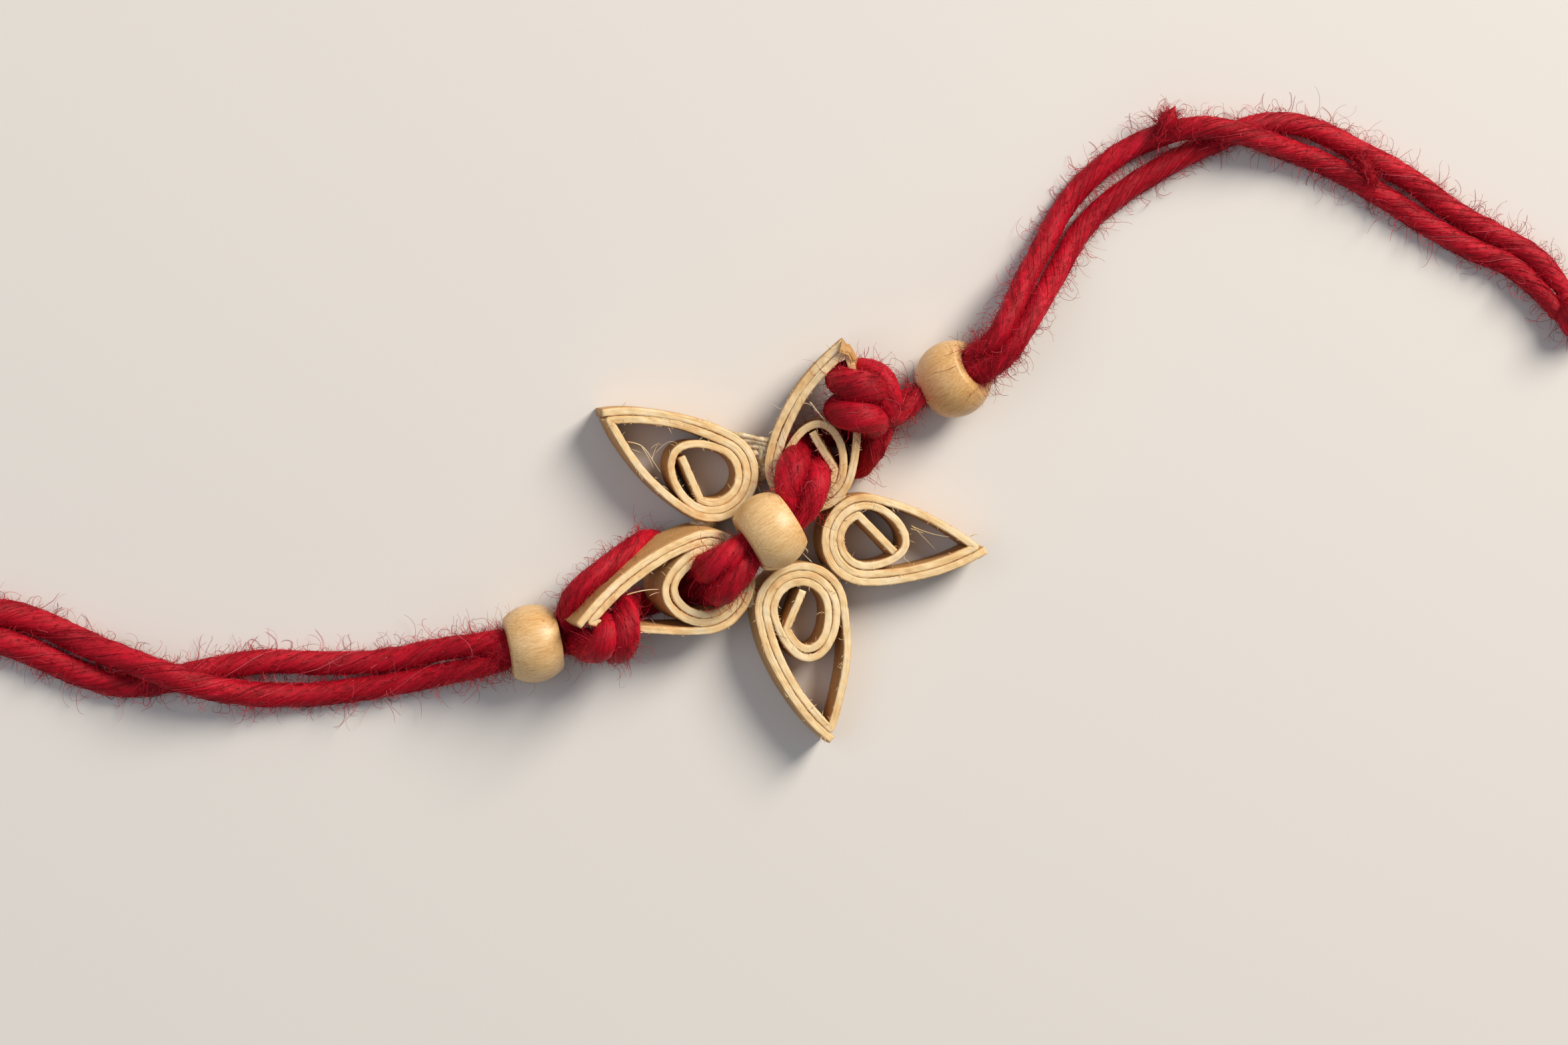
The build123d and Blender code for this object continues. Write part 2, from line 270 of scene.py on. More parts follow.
def join_meshes(name, meshes):
    joined = bmesh.new()
    for mesh in meshes:
        joined.from_mesh(mesh)
    whole = mesh_from(joined, name)
    for mesh in meshes:
        bpy.data.meshes.remove(mesh)
    return whole


def close_points(mesh):
    """Merges the vertices that meet in a point, such as a thread's ends."""
    merged = bmesh.new()
    merged.from_mesh(mesh)
    bmesh.ops.remove_doubles(merged, verts=merged.verts, dist=MERGE_REACH * MM)
    merged.to_mesh(mesh)
    merged.free()


def add_piece(name, mesh, material, slot, *nodes):
    """A finished piece of the band, which stands for the CAD nodes that are named."""
    close_points(mesh)
    mesh.name = name
    piece = linked(name, mesh)
    mesh.materials.append(material)
    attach(piece, "root")
    if nodes:
        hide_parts(*nodes)
    return piece


# Materials

def linear(hex_colour):
    """An sRGB hex colour as the linear colour that a shader takes."""
    values = [int(hex_colour[place:place + 2], 16) / 255 for place in (1, 3, 5)]
    return [v / 12.92 if v <= 0.04045 else ((v + 0.055) / 1.055) ** 2.4 for v in values] + [1.0]


def add_node(material, kind, settings=None, **inputs):
    """Adds a node with its settings, and its inputs by name, as values or as linked outputs."""
    node = material.node_tree.nodes.new(kind)
    for name, value in (settings or {}).items():
        setattr(node, name, value)
    for name, value in inputs.items():
        key = int(name[1:]) if name[0] == "_" else name.replace("_", " ")
        if isinstance(value, bpy.types.NodeSocket):
            material.node_tree.links.new(value, node.inputs[key])
        else:
            node.inputs[key].default_value = value
    return node


def new_material(name):
    material = bpy.data.materials.new(name)
    material.use_nodes = True
    material.node_tree.nodes.clear()
    return material


def finish_material(material, **inputs):
    """Adds the surface shader with its sockets, and the output."""
    shader = add_node(material, "ShaderNodeBsdfPrincipled", **inputs)
    add_node(material, "ShaderNodeOutputMaterial", Surface=shader.outputs["BSDF"])
    return material


def colour_ramp(material, factor, *stops):
    """Colours at stops from 0 to 1, as pairs of a place and a hex colour."""
    node = add_node(material, "ShaderNodeValToRGB", Fac=factor)
    elements = node.color_ramp.elements
    while len(elements) < len(stops):
        elements.new(0.5)
    for element, (place, colour) in zip(elements, stops):
        element.position = place
        element.color = linear(colour)
    return node.outputs["Color"]


def mixed(material, factor, first, second, blend="MIX"):
    settings = {"data_type": "RGBA", "blend_type": blend}
    node = add_node(material, "ShaderNodeMix", settings, _0=factor, _6=first, _7=second)
    return node.outputs[2]


def math_node(material, operation, first, second=0.0):
    settings = {"operation": operation}
    return add_node(material, "ShaderNodeMath", settings, _0=first, _1=second).outputs[0]


def past(material, value, start, slope):
    """How far a value has passed a start, as a share from 0 to 1."""
    over = math_node(material, "SUBTRACT", value, start)
    over = math_node(material, "MULTIPLY", over, slope)
    return add_node(material, "ShaderNodeClamp", Value=over).outputs[0]


def stored(material, name):
    """What the mesh stores at its vertices under a name."""
    return add_node(material, "ShaderNodeAttribute", {"attribute_name": name}).outputs


def relief(material, height, strength, depth):
    """The normal of a surface whose relief is some millimetres deep."""
    node = add_node(
        material, "ShaderNodeBump", Height=height, Strength=strength, Distance=depth * MM,
    )
    return node.outputs[0]


def noise_at(material, vector, stretch, scale, detail=3.0, roughness=0.55):
    """Noise on a vector that is first stretched, as a number about 0.5."""
    place = add_node(material, "ShaderNodeMapping", Vector=vector, Scale=stretch)
    node = add_node(
        material, "ShaderNodeTexNoise", Vector=place.outputs[0], Scale=scale, Detail=detail,
        Roughness=roughness,
    )
    return node.outputs[0]


# On a strip, in millimetres: where a cut edge darkens beside a face, across from the strip's
# middle, and how high up the strip its faces end
CUT_RIM = 0.27
FACE_TOP = 4.80


def split_cane():
    """Cane strip, split by hand and left bare: pale cut edges and tan faces, with long fibres."""
    material = new_material("split cane strip, hand cut")
    # In millimetres along the strip, across its thickness and up its width
    vector = stored(material, "grain")["Vector"]
    _, across, up = add_node(material, "ShaderNodeSeparateXYZ", Vector=vector).outputs
    # A single fibre is about 0.02 mm wide, too fine to show, so it is drawn about 0.1 mm wide
    fibre = noise_at(material, vector, (0.25, 9.0, 9.0), 1.0, 4.0, 0.6)
    blotch = noise_at(material, vector, (0.35, 0.8, 0.5), 1.0, 3.0)
    speck = noise_at(material, vector, (2.2, 5.0, 5.0), 1.6, 4.0, 0.7)
    edge = colour_ramp(
        material, fibre, (0.30, "#BE8A4C"), (0.44, "#E4BF84"), (0.58, "#F4DDB0"),
    )
    edge = mixed(material, 0.55, edge, colour_ramp(
        material, blotch, (0.32, "#D8A566"), (0.50, "#F0D4A0"), (0.68, "#F9EAC8"),
    ))
    rim = past(material, math_node(material, "ABSOLUTE", across), CUT_RIM, 10.0)
    edge = mixed(material, math_node(material, "MULTIPLY", rim, 0.70), edge, linear("#B4763A"))
    face = colour_ramp(
        material, fibre, (0.26, "#8A5A2C"), (0.45, "#BE8B50"), (0.66, "#DDB47A"),
    )
    face = mixed(material, 0.45, face, colour_ramp(
        material, speck, (0.30, "#7A4D25"), (0.48, "#B98A52"), (0.70, "#E2C08C"),
    ))
    colour = mixed(material, past(material, FACE_TOP, up, 6.0), edge, face)
    height = math_node(material, "ADD", fibre, math_node(material, "MULTIPLY", speck, 0.6))
    return finish_material(
        material, Base_Color=colour, Roughness=0.62, Normal=relief(material, height, 0.55, 0.09),
        Subsurface_Weight=0.08, Subsurface_Radius=(0.6 * MM, 0.35 * MM, 0.15 * MM),
        Subsurface_Scale=1.0, Specular_IOR_Level=0.35,
    )


def turned_bead_wood():
    """Beech, turned, drilled and varnished once: warm streaks, brown pores and a soft shine."""
    material = new_material("turned beech, satin varnish")
    vector = stored(material, "grain")["Vector"]
    streak = noise_at(material, vector, (0.10, 2.0, 2.0), 3.2, 4.0, 0.6)
    # A real pore is about 0.06 mm wide, too fine to show, so it is drawn about 0.09 mm wide
    pore = noise_at(material, vector, (0.9, 4.4, 4.4), 2.6, 2.0, 0.5)
    broad = noise_at(material, vector, (0.12, 0.22, 0.22), 1.0, 2.0)
    colour = colour_ramp(
        material, streak, (0.30, "#BC8646"), (0.44, "#D8A96A"), (0.58, "#E7C188"),
        (0.76, "#F1D6A5"),
    )
    warm = colour_ramp(material, broad, (0.35, "#CF9A56"), (0.65, "#EBCB96"))
    colour = mixed(material, 0.4, colour, warm)
    dots = add_node(
        material, "ShaderNodeMapRange", Value=pore, From_Min=0.34, From_Max=0.44, To_Min=0.22,
        To_Max=0.0,
    )
    colour = mixed(material, dots.outputs[0], colour, linear("#8A5B2B"))
    return finish_material(
        material, Base_Color=colour, Roughness=0.44, Normal=relief(material, streak, 0.18, 0.05),
        Coat_Weight=0.28, Coat_Roughness=0.36, Subsurface_Weight=0.1, Subsurface_Scale=1.0,
        Subsurface_Radius=(0.9 * MM, 0.5 * MM, 0.2 * MM),
    )


def dried_glue():
    """White wood glue dried half clear, with wood dust in it: milky, tan and lumpy."""
    material = new_material("dried wood glue")
    vector = add_node(material, "ShaderNodeTexCoord").outputs["Object"]
    # The vector is in metres, so the stretch brings it to millimetres
    stretch = (1 / MM, 1 / MM, 1 / MM)
    lump = noise_at(material, vector, stretch, 1.4, 4.0, 0.6)
    grit = noise_at(material, vector, stretch, 7.0, 3.0, 0.6)
    colour = colour_ramp(
        material, lump, (0.30, "#A98A5C"), (0.50, "#D6C19A"), (0.70, "#EDE2C8"),
    )
    height = math_node(material, "ADD", lump, math_node(material, "MULTIPLY", grit, 0.5))
    return finish_material(
        material, Base_Color=colour, Roughness=0.42, Normal=relief(material, height, 0.6, 0.12),
        Subsurface_Weight=0.3, Subsurface_Scale=1.0,
        Subsurface_Radius=(0.8 * MM, 0.6 * MM, 0.4 * MM), IOR=1.46,
    )


def spun_yarn():
    """Loosely spun acrylic fibre, dyed crimson: matt, with fine lines that run with the twist."""
    material = new_material("spun acrylic yarn, dyed crimson")
    tone = stored(material, "tone")["Fac"]
    # Round the yarn the vector is in millimetres, and along it the pattern is drawn out. Real
    # fibres are too fine to show, so their lines are drawn about 0.14 mm wide.
    vector = stored(material, "lay")["Vector"]
    hair = noise_at(material, vector, (1.0, 1.0, 1.0), 7.0, 3.0, 0.7)
    lock = noise_at(material, vector, (1.0, 1.0, 1.0), 2.4, 2.0, 0.6)
    # Fibres and hairs take random tones, the palest a painted sheen; the body's are painted shade
    # and highlight
    colour = colour_ramp(
        material, tone, (0.0, "#58000F"), (0.35, "#9C001C"), (0.7, "#C80328"),
        (0.93, "#DE1C3C"), (1.0, "#F27C8A"),
    )
    shade = colour_ramp(material, hair, (0.34, "#8A2430"), (0.50, "#ECD2D6"), (0.64, "#FFFFFF"))
    colour = mixed(material, 0.62, colour, shade, "MULTIPLY")
    shade = colour_ramp(material, lock, (0.32, "#983440"), (0.50, "#F2DEE2"), (0.66, "#FFFFFF"))
    colour = mixed(material, 0.50, colour, shade, "MULTIPLY")
    height = math_node(material, "ADD", hair, math_node(material, "MULTIPLY", lock, 2.0))
    return finish_material(
        material, Base_Color=colour, Roughness=0.58, Sheen_Weight=0.12, Sheen_Roughness=0.5,
        Sheen_Tint=linear("#FF3A4C"), Specular_IOR_Level=0.24,
        Normal=relief(material, height, 0.8, 0.07),
    )


cane = split_cane()
beech = turned_bead_wood()
glue = dried_glue()
yarn = spun_yarn()


# Yarn

# Millimetres to a turn of the twist, the steps along a fibre and along a yarn's body, the body's
# sides, and its radius as a share of the yarn's
TWIST_LENGTH = 15.0
FIBRE_STEP = 1.25
CORE_STEP = 0.5
CORE_SIDES = 18
CORE_SHARE = 0.97

# The pattern's run as a share of the yarn's own, which draws the pattern out along the yarn
LAY_RUN = 0.14

# The wound fibres' lengths and radii, and the run of yarn that their number is counted on. A real
# fibre is about 0.02 mm wide, too fine to show, so wound and loose ones are drawn coarser.
FIBRE_LENGTHS = (14, 34)
FIBRE_RADII = (0.018, 0.038)
FIBRE_RUN = 20

# The loose hairs' radii, how far long and short ones rise off the yarn as they set out, how they
# bend, the steps they are drawn in, and the share of them that crowds the yarn's first millimetres
HAIR_RADII = (0.014, 0.029)
LONG_RISE = (0.3, 1.1)
SHORT_RISE = (0.2, 1.0)
HAIR_BENDS = (0.15, 0.6)
HAIR_STRIDES = (0.20, 0.36)
CURL_STEPS = 13
CROWD_SHARE = 0.11
CROWD_LENGTH = 5.0

# How each kind of yarn is drawn: the fibres on a run, how far its creases stand out in radii, the
# loose hairs to a millimetre, the share of them that is long, and how far they stray
Spun = namedtuple("Spun", "fibres creases hairs long_share stray")
FREE = Spun(40, 0.06, 32, 0.34, 0.45)
KNOTTED = Spun(44, 0.06, 14, 0.34, 0.45)
TUFTED = Spun(60, 0.06, 180, 0.20, 0.9)
HELD = Spun(50, 0.13, 52, 0.20, 0.9)


def ripple(far, seed, length):
    """A smooth wander between about -1 and 1 along a line, in millimetres of length."""
    return np.array([noise.noise((place / (length * MM), seed * 7.31, 0.5)) for place in far]) * 2


def crease(turn, far, seed):
    """How far a yarn's body stands out at an angle and a distance, from about -1 to 1."""
    x, y, z = math.cos(turn), math.sin(turn), far / MM
    broad = noise.noise((x * 0.9, y * 0.9, z / 16 + seed * 9.7))
    narrow = noise.noise((x * 3.2, y * 3.2, z / 9 + seed * 4.3))
    return broad * 0.9 + narrow * 0.8


def yarn_core(name, line, spun, seed):
    """A yarn's body, with long creases that run with the twist of its fibres, closed at its ends."""
    far = np.linspace(0, line.length, max(int(line.length / (CORE_STEP * MM)), 3))
    ends = line.ahead[[0, -1]] * CORE_STEP * MM
    middle = line.read(line.points, far)
    middle = np.vstack([middle[0] - ends[0], middle, middle[-1] + ends[1]])
    far = np.concatenate([far[:1], far, far[-1:]])
    wide = line.width(far)
    wide[[0, -1]] = 0
    mesh = threads(name, [middle], [wide], [0.5], CORE_SIDES)
    places = np.empty(len(mesh.vertices) * 3)
    mesh.vertices.foreach_get("co", places)
    out = places.reshape(len(far), CORE_SIDES, 3) - middle[:, None]
    up, aside = line.read(line.up, far)[:, None], line.read(line.aside, far)[:, None]
    turn = np.arctan2((out * up).sum(2), (out * aside).sum(2))
    turn = turn + math.tau * far[:, None] / (TWIST_LENGTH * MM)
    stands = np.array([[crease(t, f, seed) for t in row] for row, f in zip(turn, far)])
    out = out * (CORE_SHARE + spun.creases * stands)[..., None]
    places = above_floor(middle[:, None] + out, 0)
    mesh.vertices.foreach_set("co", places.ravel())
    reach = np.broadcast_to(line.width(far)[:, None] / MM, turn.shape)
    run = np.broadcast_to(far[:, None] / MM * LAY_RUN + seed * 11, turn.shape)
    set_vectors(mesh, "lay", np.stack([np.cos(turn) * reach, np.sin(turn) * reach, run], axis=2))
    # Tone follows how far the body stands out: painted shade in the creases, painted highlight on
    # the ridges
    set_values(mesh, "tone", np.clip(0.60 + 0.30 * stands, 0.05, 1.0))
    return mesh


def yarn_mesh(name, line, spun, seed):
    """A yarn: its body, and fibres that wind round it to the left."""
    draw = np.random.default_rng(seed)
    lines, radii, tones = [], [], []
    count = spun.fibres * int(line.length / (FIBRE_RUN * MM) + 1)
    spans = draw.uniform(*FIBRE_LENGTHS, count) * MM
    for number, span in enumerate(spans):
        start = draw.uniform(-span * 0.6, line.length - span * 0.4)
        begin, end = max(start, 0), min(start + span, line.length)
        steps = max(int((end - begin) / (FIBRE_STEP * MM)), 3)
        far = np.linspace(begin, end, steps)
        thick = draw.uniform(*FIBRE_RADII) * MM
        turn = draw.uniform(0, math.tau) - math.tau * far / (TWIST_LENGTH * MM)
        # It wanders a little round the yarn and in depth, and its ends sink in
        turn = turn + 0.35 * ripple(far, number + seed, 9)
        share = draw.uniform(0.93, 1.03) + 0.06 * ripple(far, number - seed, 5)
        taper = np.minimum(1, np.minimum(np.arange(steps), np.arange(steps)[::-1]) * 0.6)
        share = share * (0.88 + 0.12 * taper)
        lines.append(above_floor(line.around(far, turn, line.width(far) * share), thick))
        radii.append(thick * taper)
        # Its tone is random, and the lightest take the pale pink that is a painted sheen
        tones.append(draw.uniform(0.35, 1.0))
    fibres = threads(name, lines, radii, tones)
    return join_meshes(name, [yarn_core(name, line, spun, seed), fibres])


def fluff_mesh(name, line, spun, seed):
    """Loose hairs round a yarn: short curls that lie close, and long ones that stand off it."""
    draw = np.random.default_rng(seed)
    count = int(line.length / MM * spun.hairs)
    far = draw.uniform(0, line.length, count)
    crowd = draw.random(count) < CROWD_SHARE
    far = np.where(crowd, draw.uniform(0, CROWD_LENGTH * MM, count), far) % line.length
    place = line.around(far, draw.uniform(0, math.tau, count), line.width(far) * 0.93)
    out = unit(place - line.read(line.points, far))
    ahead = line.read(line.ahead, far) * draw.choice([-1, 1], count)[:, None]
    is_long = draw.random(count) < spun.long_share
    rise = draw.uniform(*LONG_RISE, count), draw.uniform(*SHORT_RISE, count)
    rise = np.where(is_long, *rise)[:, None]
    way = unit(out * rise + ahead + draw.normal(0, spun.stray, (count, 3)))
    # Each hair curls about an axis of its own, which wanders as the hair goes on
    spin = unit(np.cross(way, out) * 0.8 + draw.normal(0, 0.6, (count, 3)))
    bend = draw.uniform(*HAIR_BENDS, count)[:, None]
    stride = draw.uniform(*HAIR_STRIDES, count)[:, None] * MM
    trail = [place]
    for _ in range(CURL_STEPS):
        place = place + way * stride
        way = unit(way + np.cross(spin, way) * bend + draw.normal(0, 0.09, (count, 3)))
        spin = unit(spin + draw.normal(0, 0.3, (count, 3)))
        trail.append(place)
    trail = np.stack(trail, axis=1)
    ends = np.where(is_long, draw.integers(8, CURL_STEPS + 2, count), draw.integers(4, 6, count))
    thick = draw.uniform(*HAIR_RADII, count) * MM
    lines = [above_floor(row[:end], size) for row, end, size in zip(trail, ends, thick)]
    radii = [
        size * np.interp(np.arange(end), (0, 1, end - 2, end - 1), (0, 1.1, 0.7, 0))
        for end, size in zip(ends, thick)
    ]
    # Each hair's tone is random, and the lightest take the pale pink that is a painted sheen of lit
    # fuzz
    return threads(name, lines, radii, draw.uniform(0.3, 1.0, count))


strand_diameter = 2.1

# How many times its radius the loose yarn swells to, near the bead and near the knot, and the
# radius that it has where it runs into the knot
SWELLS = {"left": (1.10, 1.36), "right": (1.10, 1.18)}
knot_entry = 0.9

# The free strands, from a bead's hole to the knot that ends the band, as the photograph shows
# them. The last number of a row is the height of the strand's middle.
STRANDS = {
    "strand_left_a": [
        (-27.74, -12.38, 4.0), (-30.69, -13.15, 4.0), (-34.8, -14.1, 1.87), (-39.6, -15.0, 1.05),
        (-46.0, -15.9, 1.05), (-52.3, -15.9, 1.46), (-58.0, -14.9, 3.6), (-63.6, -12.9, 3.6),
        (-69.4, -10.7, 1.46), (-75.3, -7.8, 1.05), (-79.8, -6.7, 1.8), (-83.04, -8.03, 2.3),
    ],
    "strand_left_b": [
        (-28.15, -10.22, 4.0), (-31.1, -10.8, 4.0), (-35.1, -11.5, 1.87), (-39.6, -12.6, 1.05),
        (-46.0, -12.8, 1.05), (-52.6, -12.3, 1.05), (-59.4, -13.6, 1.05), (-65.6, -15.0, 1.05),
        (-71.0, -13.4, 1.05), (-75.8, -10.9, 1.05), (-79.8, -9.4, 1.8), (-82.96, -10.23, 2.3),
    ],
    "strand_right_a": [
        (20.12, 18.39, 5.72), (22.26, 19.66, 7.44), (23.8, 22.4, 7.42), (25.8, 26.1, 5.23),
        (28.5, 29.6, 2.27), (31.1, 34.4, 1.05), (35.2, 38.3, 1.05), (39.5, 41.0, 1.46),
        (44.9, 42.6, 3.6), (50.4, 41.4, 3.6), (55.6, 39.9, 1.5), (60.6, 38.1, 1.05),
        (65.9, 35.1, 1.05), (71.0, 31.9, 1.05), (75.9, 29.4, 1.05), (80.9, 27.7, 1.5),
        (84.71, 22.88, 2.3),
    ],
    "strand_right_b": [
        (21.35, 16.56, 5.72), (23.29, 18.04, 7.44), (25.4, 21.2, 7.42), (27.8, 24.6, 5.23),
        (30.6, 28.1, 2.27), (33.2, 32.2, 1.05), (37.1, 35.4, 1.05), (41.4, 38.1, 1.05),
        (46.8, 40.7, 1.05), (51.9, 42.9, 1.05), (57.2, 42.8, 1.05), (62.8, 40.0, 1.05),
        (68.3, 37.3, 1.05), (73.4, 33.5, 1.05), (78.5, 31.0, 1.05), (83.0, 28.6, 1.8),
        (85.71, 24.84, 2.3),
    ],
}

# Knots: x, y and the way the band runs into them
KNOTS = {"end_knot_left": (-84.9, -9.2, 182.0), "end_knot_right": (86.9, 23.0, -27.0)}

# A plain overhand knot tied in both strands, in the knot's own millimetres: x the way the band
# runs, y to its left and z up from the knot's middle
OVERHAND = [
    (-1.2, -0.5, -0.6), (0.9, -1.3, -0.4), (2.0, 0.2, 0.9), (0.6, 1.6, 1.2), (-1.3, 1.0, 0.6),
    (-1.6, -0.7, 1.0), (-0.2, -1.7, 1.2), (1.2, -1.2, -0.2), (0.6, 0.7, -1.2), (-0.4, 1.5, -0.6),
    (0.8, 0.6, 0.3), (2.6, 0.3, -0.4), (4.6, 0.2, -1.2),
]
knot_start = -2.4
knot_half_height = 2.3
tail_spread = 2.2
tail_reach = 11.0


def knot_routes(name):
    """The two strands' routes through an end knot and out along the two tails."""
    x, y, heading = KNOTS[name]
    turn = Matrix.Rotation(math.radians(heading), 3, "Z")
    routes = []
    low = strand_diameter / 2 - knot_half_height
    for side in (-1, 1):
        points = [Vector((knot_start, side * strand_diameter / 2, 0))]
        # The two cross from side to side, and one stays a little above the other
        for number, (px, py, pz) in enumerate(OVERHAND, 1):
            sway = side * 0.55 * math.cos(number * 0.9)
            points.append(Vector((px, py + sway, pz + side * 0.4)))
        points += [
            Vector((tail_reach * out, side * tail_spread * aside, low))
            for out, aside in ((0.6, 0.6), (0.85, 0.9), (1, 1))
        ]
        routes.append([Vector((x, y, knot_half_height)) + turn @ point for point in points])
    return routes


# A knotted strand's radius: tight in the knot, full in its tail and frayed at the cut end
KNOT_WIDTHS = [0.95] * 2 + [0.88] * 11 + [1.0, 1.1, 1.2, 1.45]


def add_end_knot(name, seed):
    lines = [smooth_line(route, KNOT_WIDTHS, step=0.3) for route in knot_routes(name)]
    meshes = [yarn_mesh(name, line, KNOTTED, seed + k) for k, line in enumerate(lines)]
    meshes += [fluff_mesh(name, line, KNOTTED, seed + 9 + k) for k, line in enumerate(lines)]
    return add_piece(name, join_meshes(name, meshes), yarn, "yarn", name)


# Soft lumps of fibre: the yarn that fills a side bead's mouth, a cut stub and a small loop between
# the strands. The last number of a row is the radius.
TUFTS = {
    "strand_left_a": [
        [(-26.57, -11.04, 4.0, 1.4), (-27.36, -11.19, 4.0, 1.72), (-27.95, -11.3, 4.0, 1.75),
         (-28.6, -11.42, 4.0, 1.55), (-30.0, -11.7, 3.8, 0.7)],
    ],
    "strand_right_a": [
        [(19.78, 16.83, 4.92, 1.4), (20.33, 17.2, 5.38, 1.72), (20.74, 17.48, 5.72, 1.75),
         (21.18, 17.78, 6.1, 1.55), (22.1, 18.5, 6.8, 0.7)],
        [(41.0, 41.6, 3.0, 0.6), (41.4, 42.6, 3.6, 0.95), (41.7, 43.4, 4.0, 0.9),
         (42.0, 44.0, 4.1, 0.3)],
        [(62.7, 39.5, 1.7, 0.5), (63.4, 38.4, 2.1, 0.7), (63.9, 37.4, 2.1, 0.7),
         (64.3, 36.3, 1.7, 0.5)],
    ],
}


def add_strand(name, swell, seed):
    radius = strand_diameter / 2
    middle = radius * np.linspace(*swell, len(STRANDS[name]) - 2)
    line = smooth_line(STRANDS[name], [radius, *middle, knot_entry])
    piece = add_piece(name, yarn_mesh(name, line, FREE, seed), yarn, "yarn", name)
    loose = [fluff_mesh(name, line, FREE, seed)]
    for number, rows in enumerate(TUFTS.get(name, [])):
        tuft = line_of(rows, step=0.2)
        loose.append(yarn_mesh(name, tuft, TUFTED, seed + number))
        loose.append(fluff_mesh(name, tuft, TUFTED, number))
    fluff = add_piece(name + "_fluff", join_meshes(name, loose), yarn, "yarn")


def add_free_strands():
    knots = {name: add_end_knot(name, 40 + 5 * k) for k, name in enumerate(KNOTS)}
    for number, name in enumerate(STRANDS):
        side = name.split("_")[1]
        add_strand(name, SWELLS[side], number + 1)


add_free_strands()

# The yarns where the flower holds them, from the left bead to the right one: the first is hitched
# round petal 5, the second round petal 2. The last number of a row is the yarn's radius.
HELD_A = [
    (-27.8, -12.09, 4.0, 0.8), (-21.6, -10.7, 4.0, 1.0), (-20.9, -10.5, 4.4, 1.5),
    (-19.8, -10.8, 5.6, 1.7), (-18.8, -11.1, 8.6, 1.6), (-18.2, -9.6, 9.6, 1.35),
    (-17.8, -8.3, 7.6, 1.1), (-17.6, -8.4, 3.4, 1.2), (-17.2, -10.4, 3.0, 1.2),
    (-16.8, -11.4, 5.8, 1.6), (-16.4, -10.8, 8.9, 1.6), (-16.2, -8.3, 9.2, 1.45),
    (-15.9, -6.9, 6.0, 1.4), (-14.6, -7.4, 1.8, 1.3), (-12.4, -6.8, 1.3, 1.3),
    (-8.4, -5.4, 1.4, 1.4), (-6.4, -5.7, 5.0, 1.5), (-5.9, -5.3, 8.0, 1.6),
    (-4.3, -3.3, 8.6, 1.55), (-3.0, -1.6, 8.0, 1.1), (2.3, 2.0, 7.8, 1.0),
    (3.2, 4.0, 8.1, 1.4), (3.7, 6.0, 7.8, 1.5), (4.3, 7.4, 4.0, 1.3),
    (6.2, 7.4, 1.2, 1.1), (9.2, 6.2, 1.2, 0.9), (10.0, 7.8, 2.4, 1.2),
    (10.6, 9.8, 3.8, 1.5), (11.2, 12.2, 4.4, 1.5), (12.9, 13.8, 4.2, 1.2),
    (15.4, 14.4, 4.0, 1.1), (18.0, 15.4, 4.3, 0.9), (21.18, 16.81, 5.72, 0.8),
]
HELD_B = [
    (-28.09, -10.51, 4.0, 0.8), (-21.9, -9.6, 4.0, 1.0), (-21.2, -8.9, 4.4, 1.6),
    (-21.8, -6.9, 6.6, 1.25), (-20.9, -5.2, 7.5, 1.2), (-19.3, -3.9, 7.6, 1.15),
    (-17.5, -2.6, 6.9, 1.15), (-15.6, -1.4, 5.4, 1.1), (-13.6, -0.2, 3.4, 1.1),
    (-11.8, -0.4, 1.6, 1.1), (-10.6, -2.4, 1.2, 1.1), (-9.2, -3.1, 1.8, 1.3),
    (-8.0, -3.2, 5.0, 1.4), (-7.5, -3.1, 7.8, 1.6), (-5.6, -1.9, 8.7, 1.6),
    (-3.6, -0.4, 8.1, 1.1), (1.1, 3.2, 7.8, 1.0), (0.6, 5.0, 8.2, 1.5),
    (1.2, 7.2, 7.8, 1.7), (2.3, 8.6, 4.6, 1.4), (4.2, 10.2, 1.3, 1.2),
    (7.5, 10.4, 1.1, 1.2), (9.8, 10.6, 2.2, 1.3), (10.2, 11.6, 6.0, 1.5),
    (9.2, 12.2, 8.9, 1.6), (6.9, 12.5, 8.9, 1.65), (5.9, 12.9, 6.0, 1.5),
    (7.6, 13.8, 1.9, 1.3), (9.9, 14.4, 2.6, 1.3), (10.3, 15.0, 6.2, 1.5),
    (9.2, 15.4, 9.0, 1.6), (6.9, 15.5, 9.0, 1.65), (6.0, 16.0, 6.4, 1.5),
    (7.6, 17.1, 3.2, 1.1), (9.3, 17.2, 5.4, 1.2), (10.6, 16.2, 7.0, 1.5),
    (11.2, 14.0, 6.9, 1.6), (11.6, 12.4, 5.8, 1.5), (13.2, 13.0, 4.8, 1.3),
    (15.4, 14.6, 4.3, 1.1), (17.6, 16.4, 4.4, 0.9), (20.29, 18.14, 5.72, 0.8),
]


def add_held_yarn(name, rows, seed):
    line = line_of(rows, step=0.3)
    add_piece(name, yarn_mesh(name, line, HELD, seed), yarn, "yarn", name)
    add_piece(name + "_fluff", fluff_mesh(name, line, HELD, seed), yarn, "yarn")


add_held_yarn("yarn_held_a", HELD_A, 71)
add_held_yarn("yarn_held_b", HELD_B, 72)


# Petals, each a strip wound on its edge

strip_width = 5.0
strip_thickness = 0.74
layer_gap = 0.08
coil_radius = 4.8
petal_reach = 12.5
pitch = strip_thickness + layer_gap
nose_pitch_share = 1.15

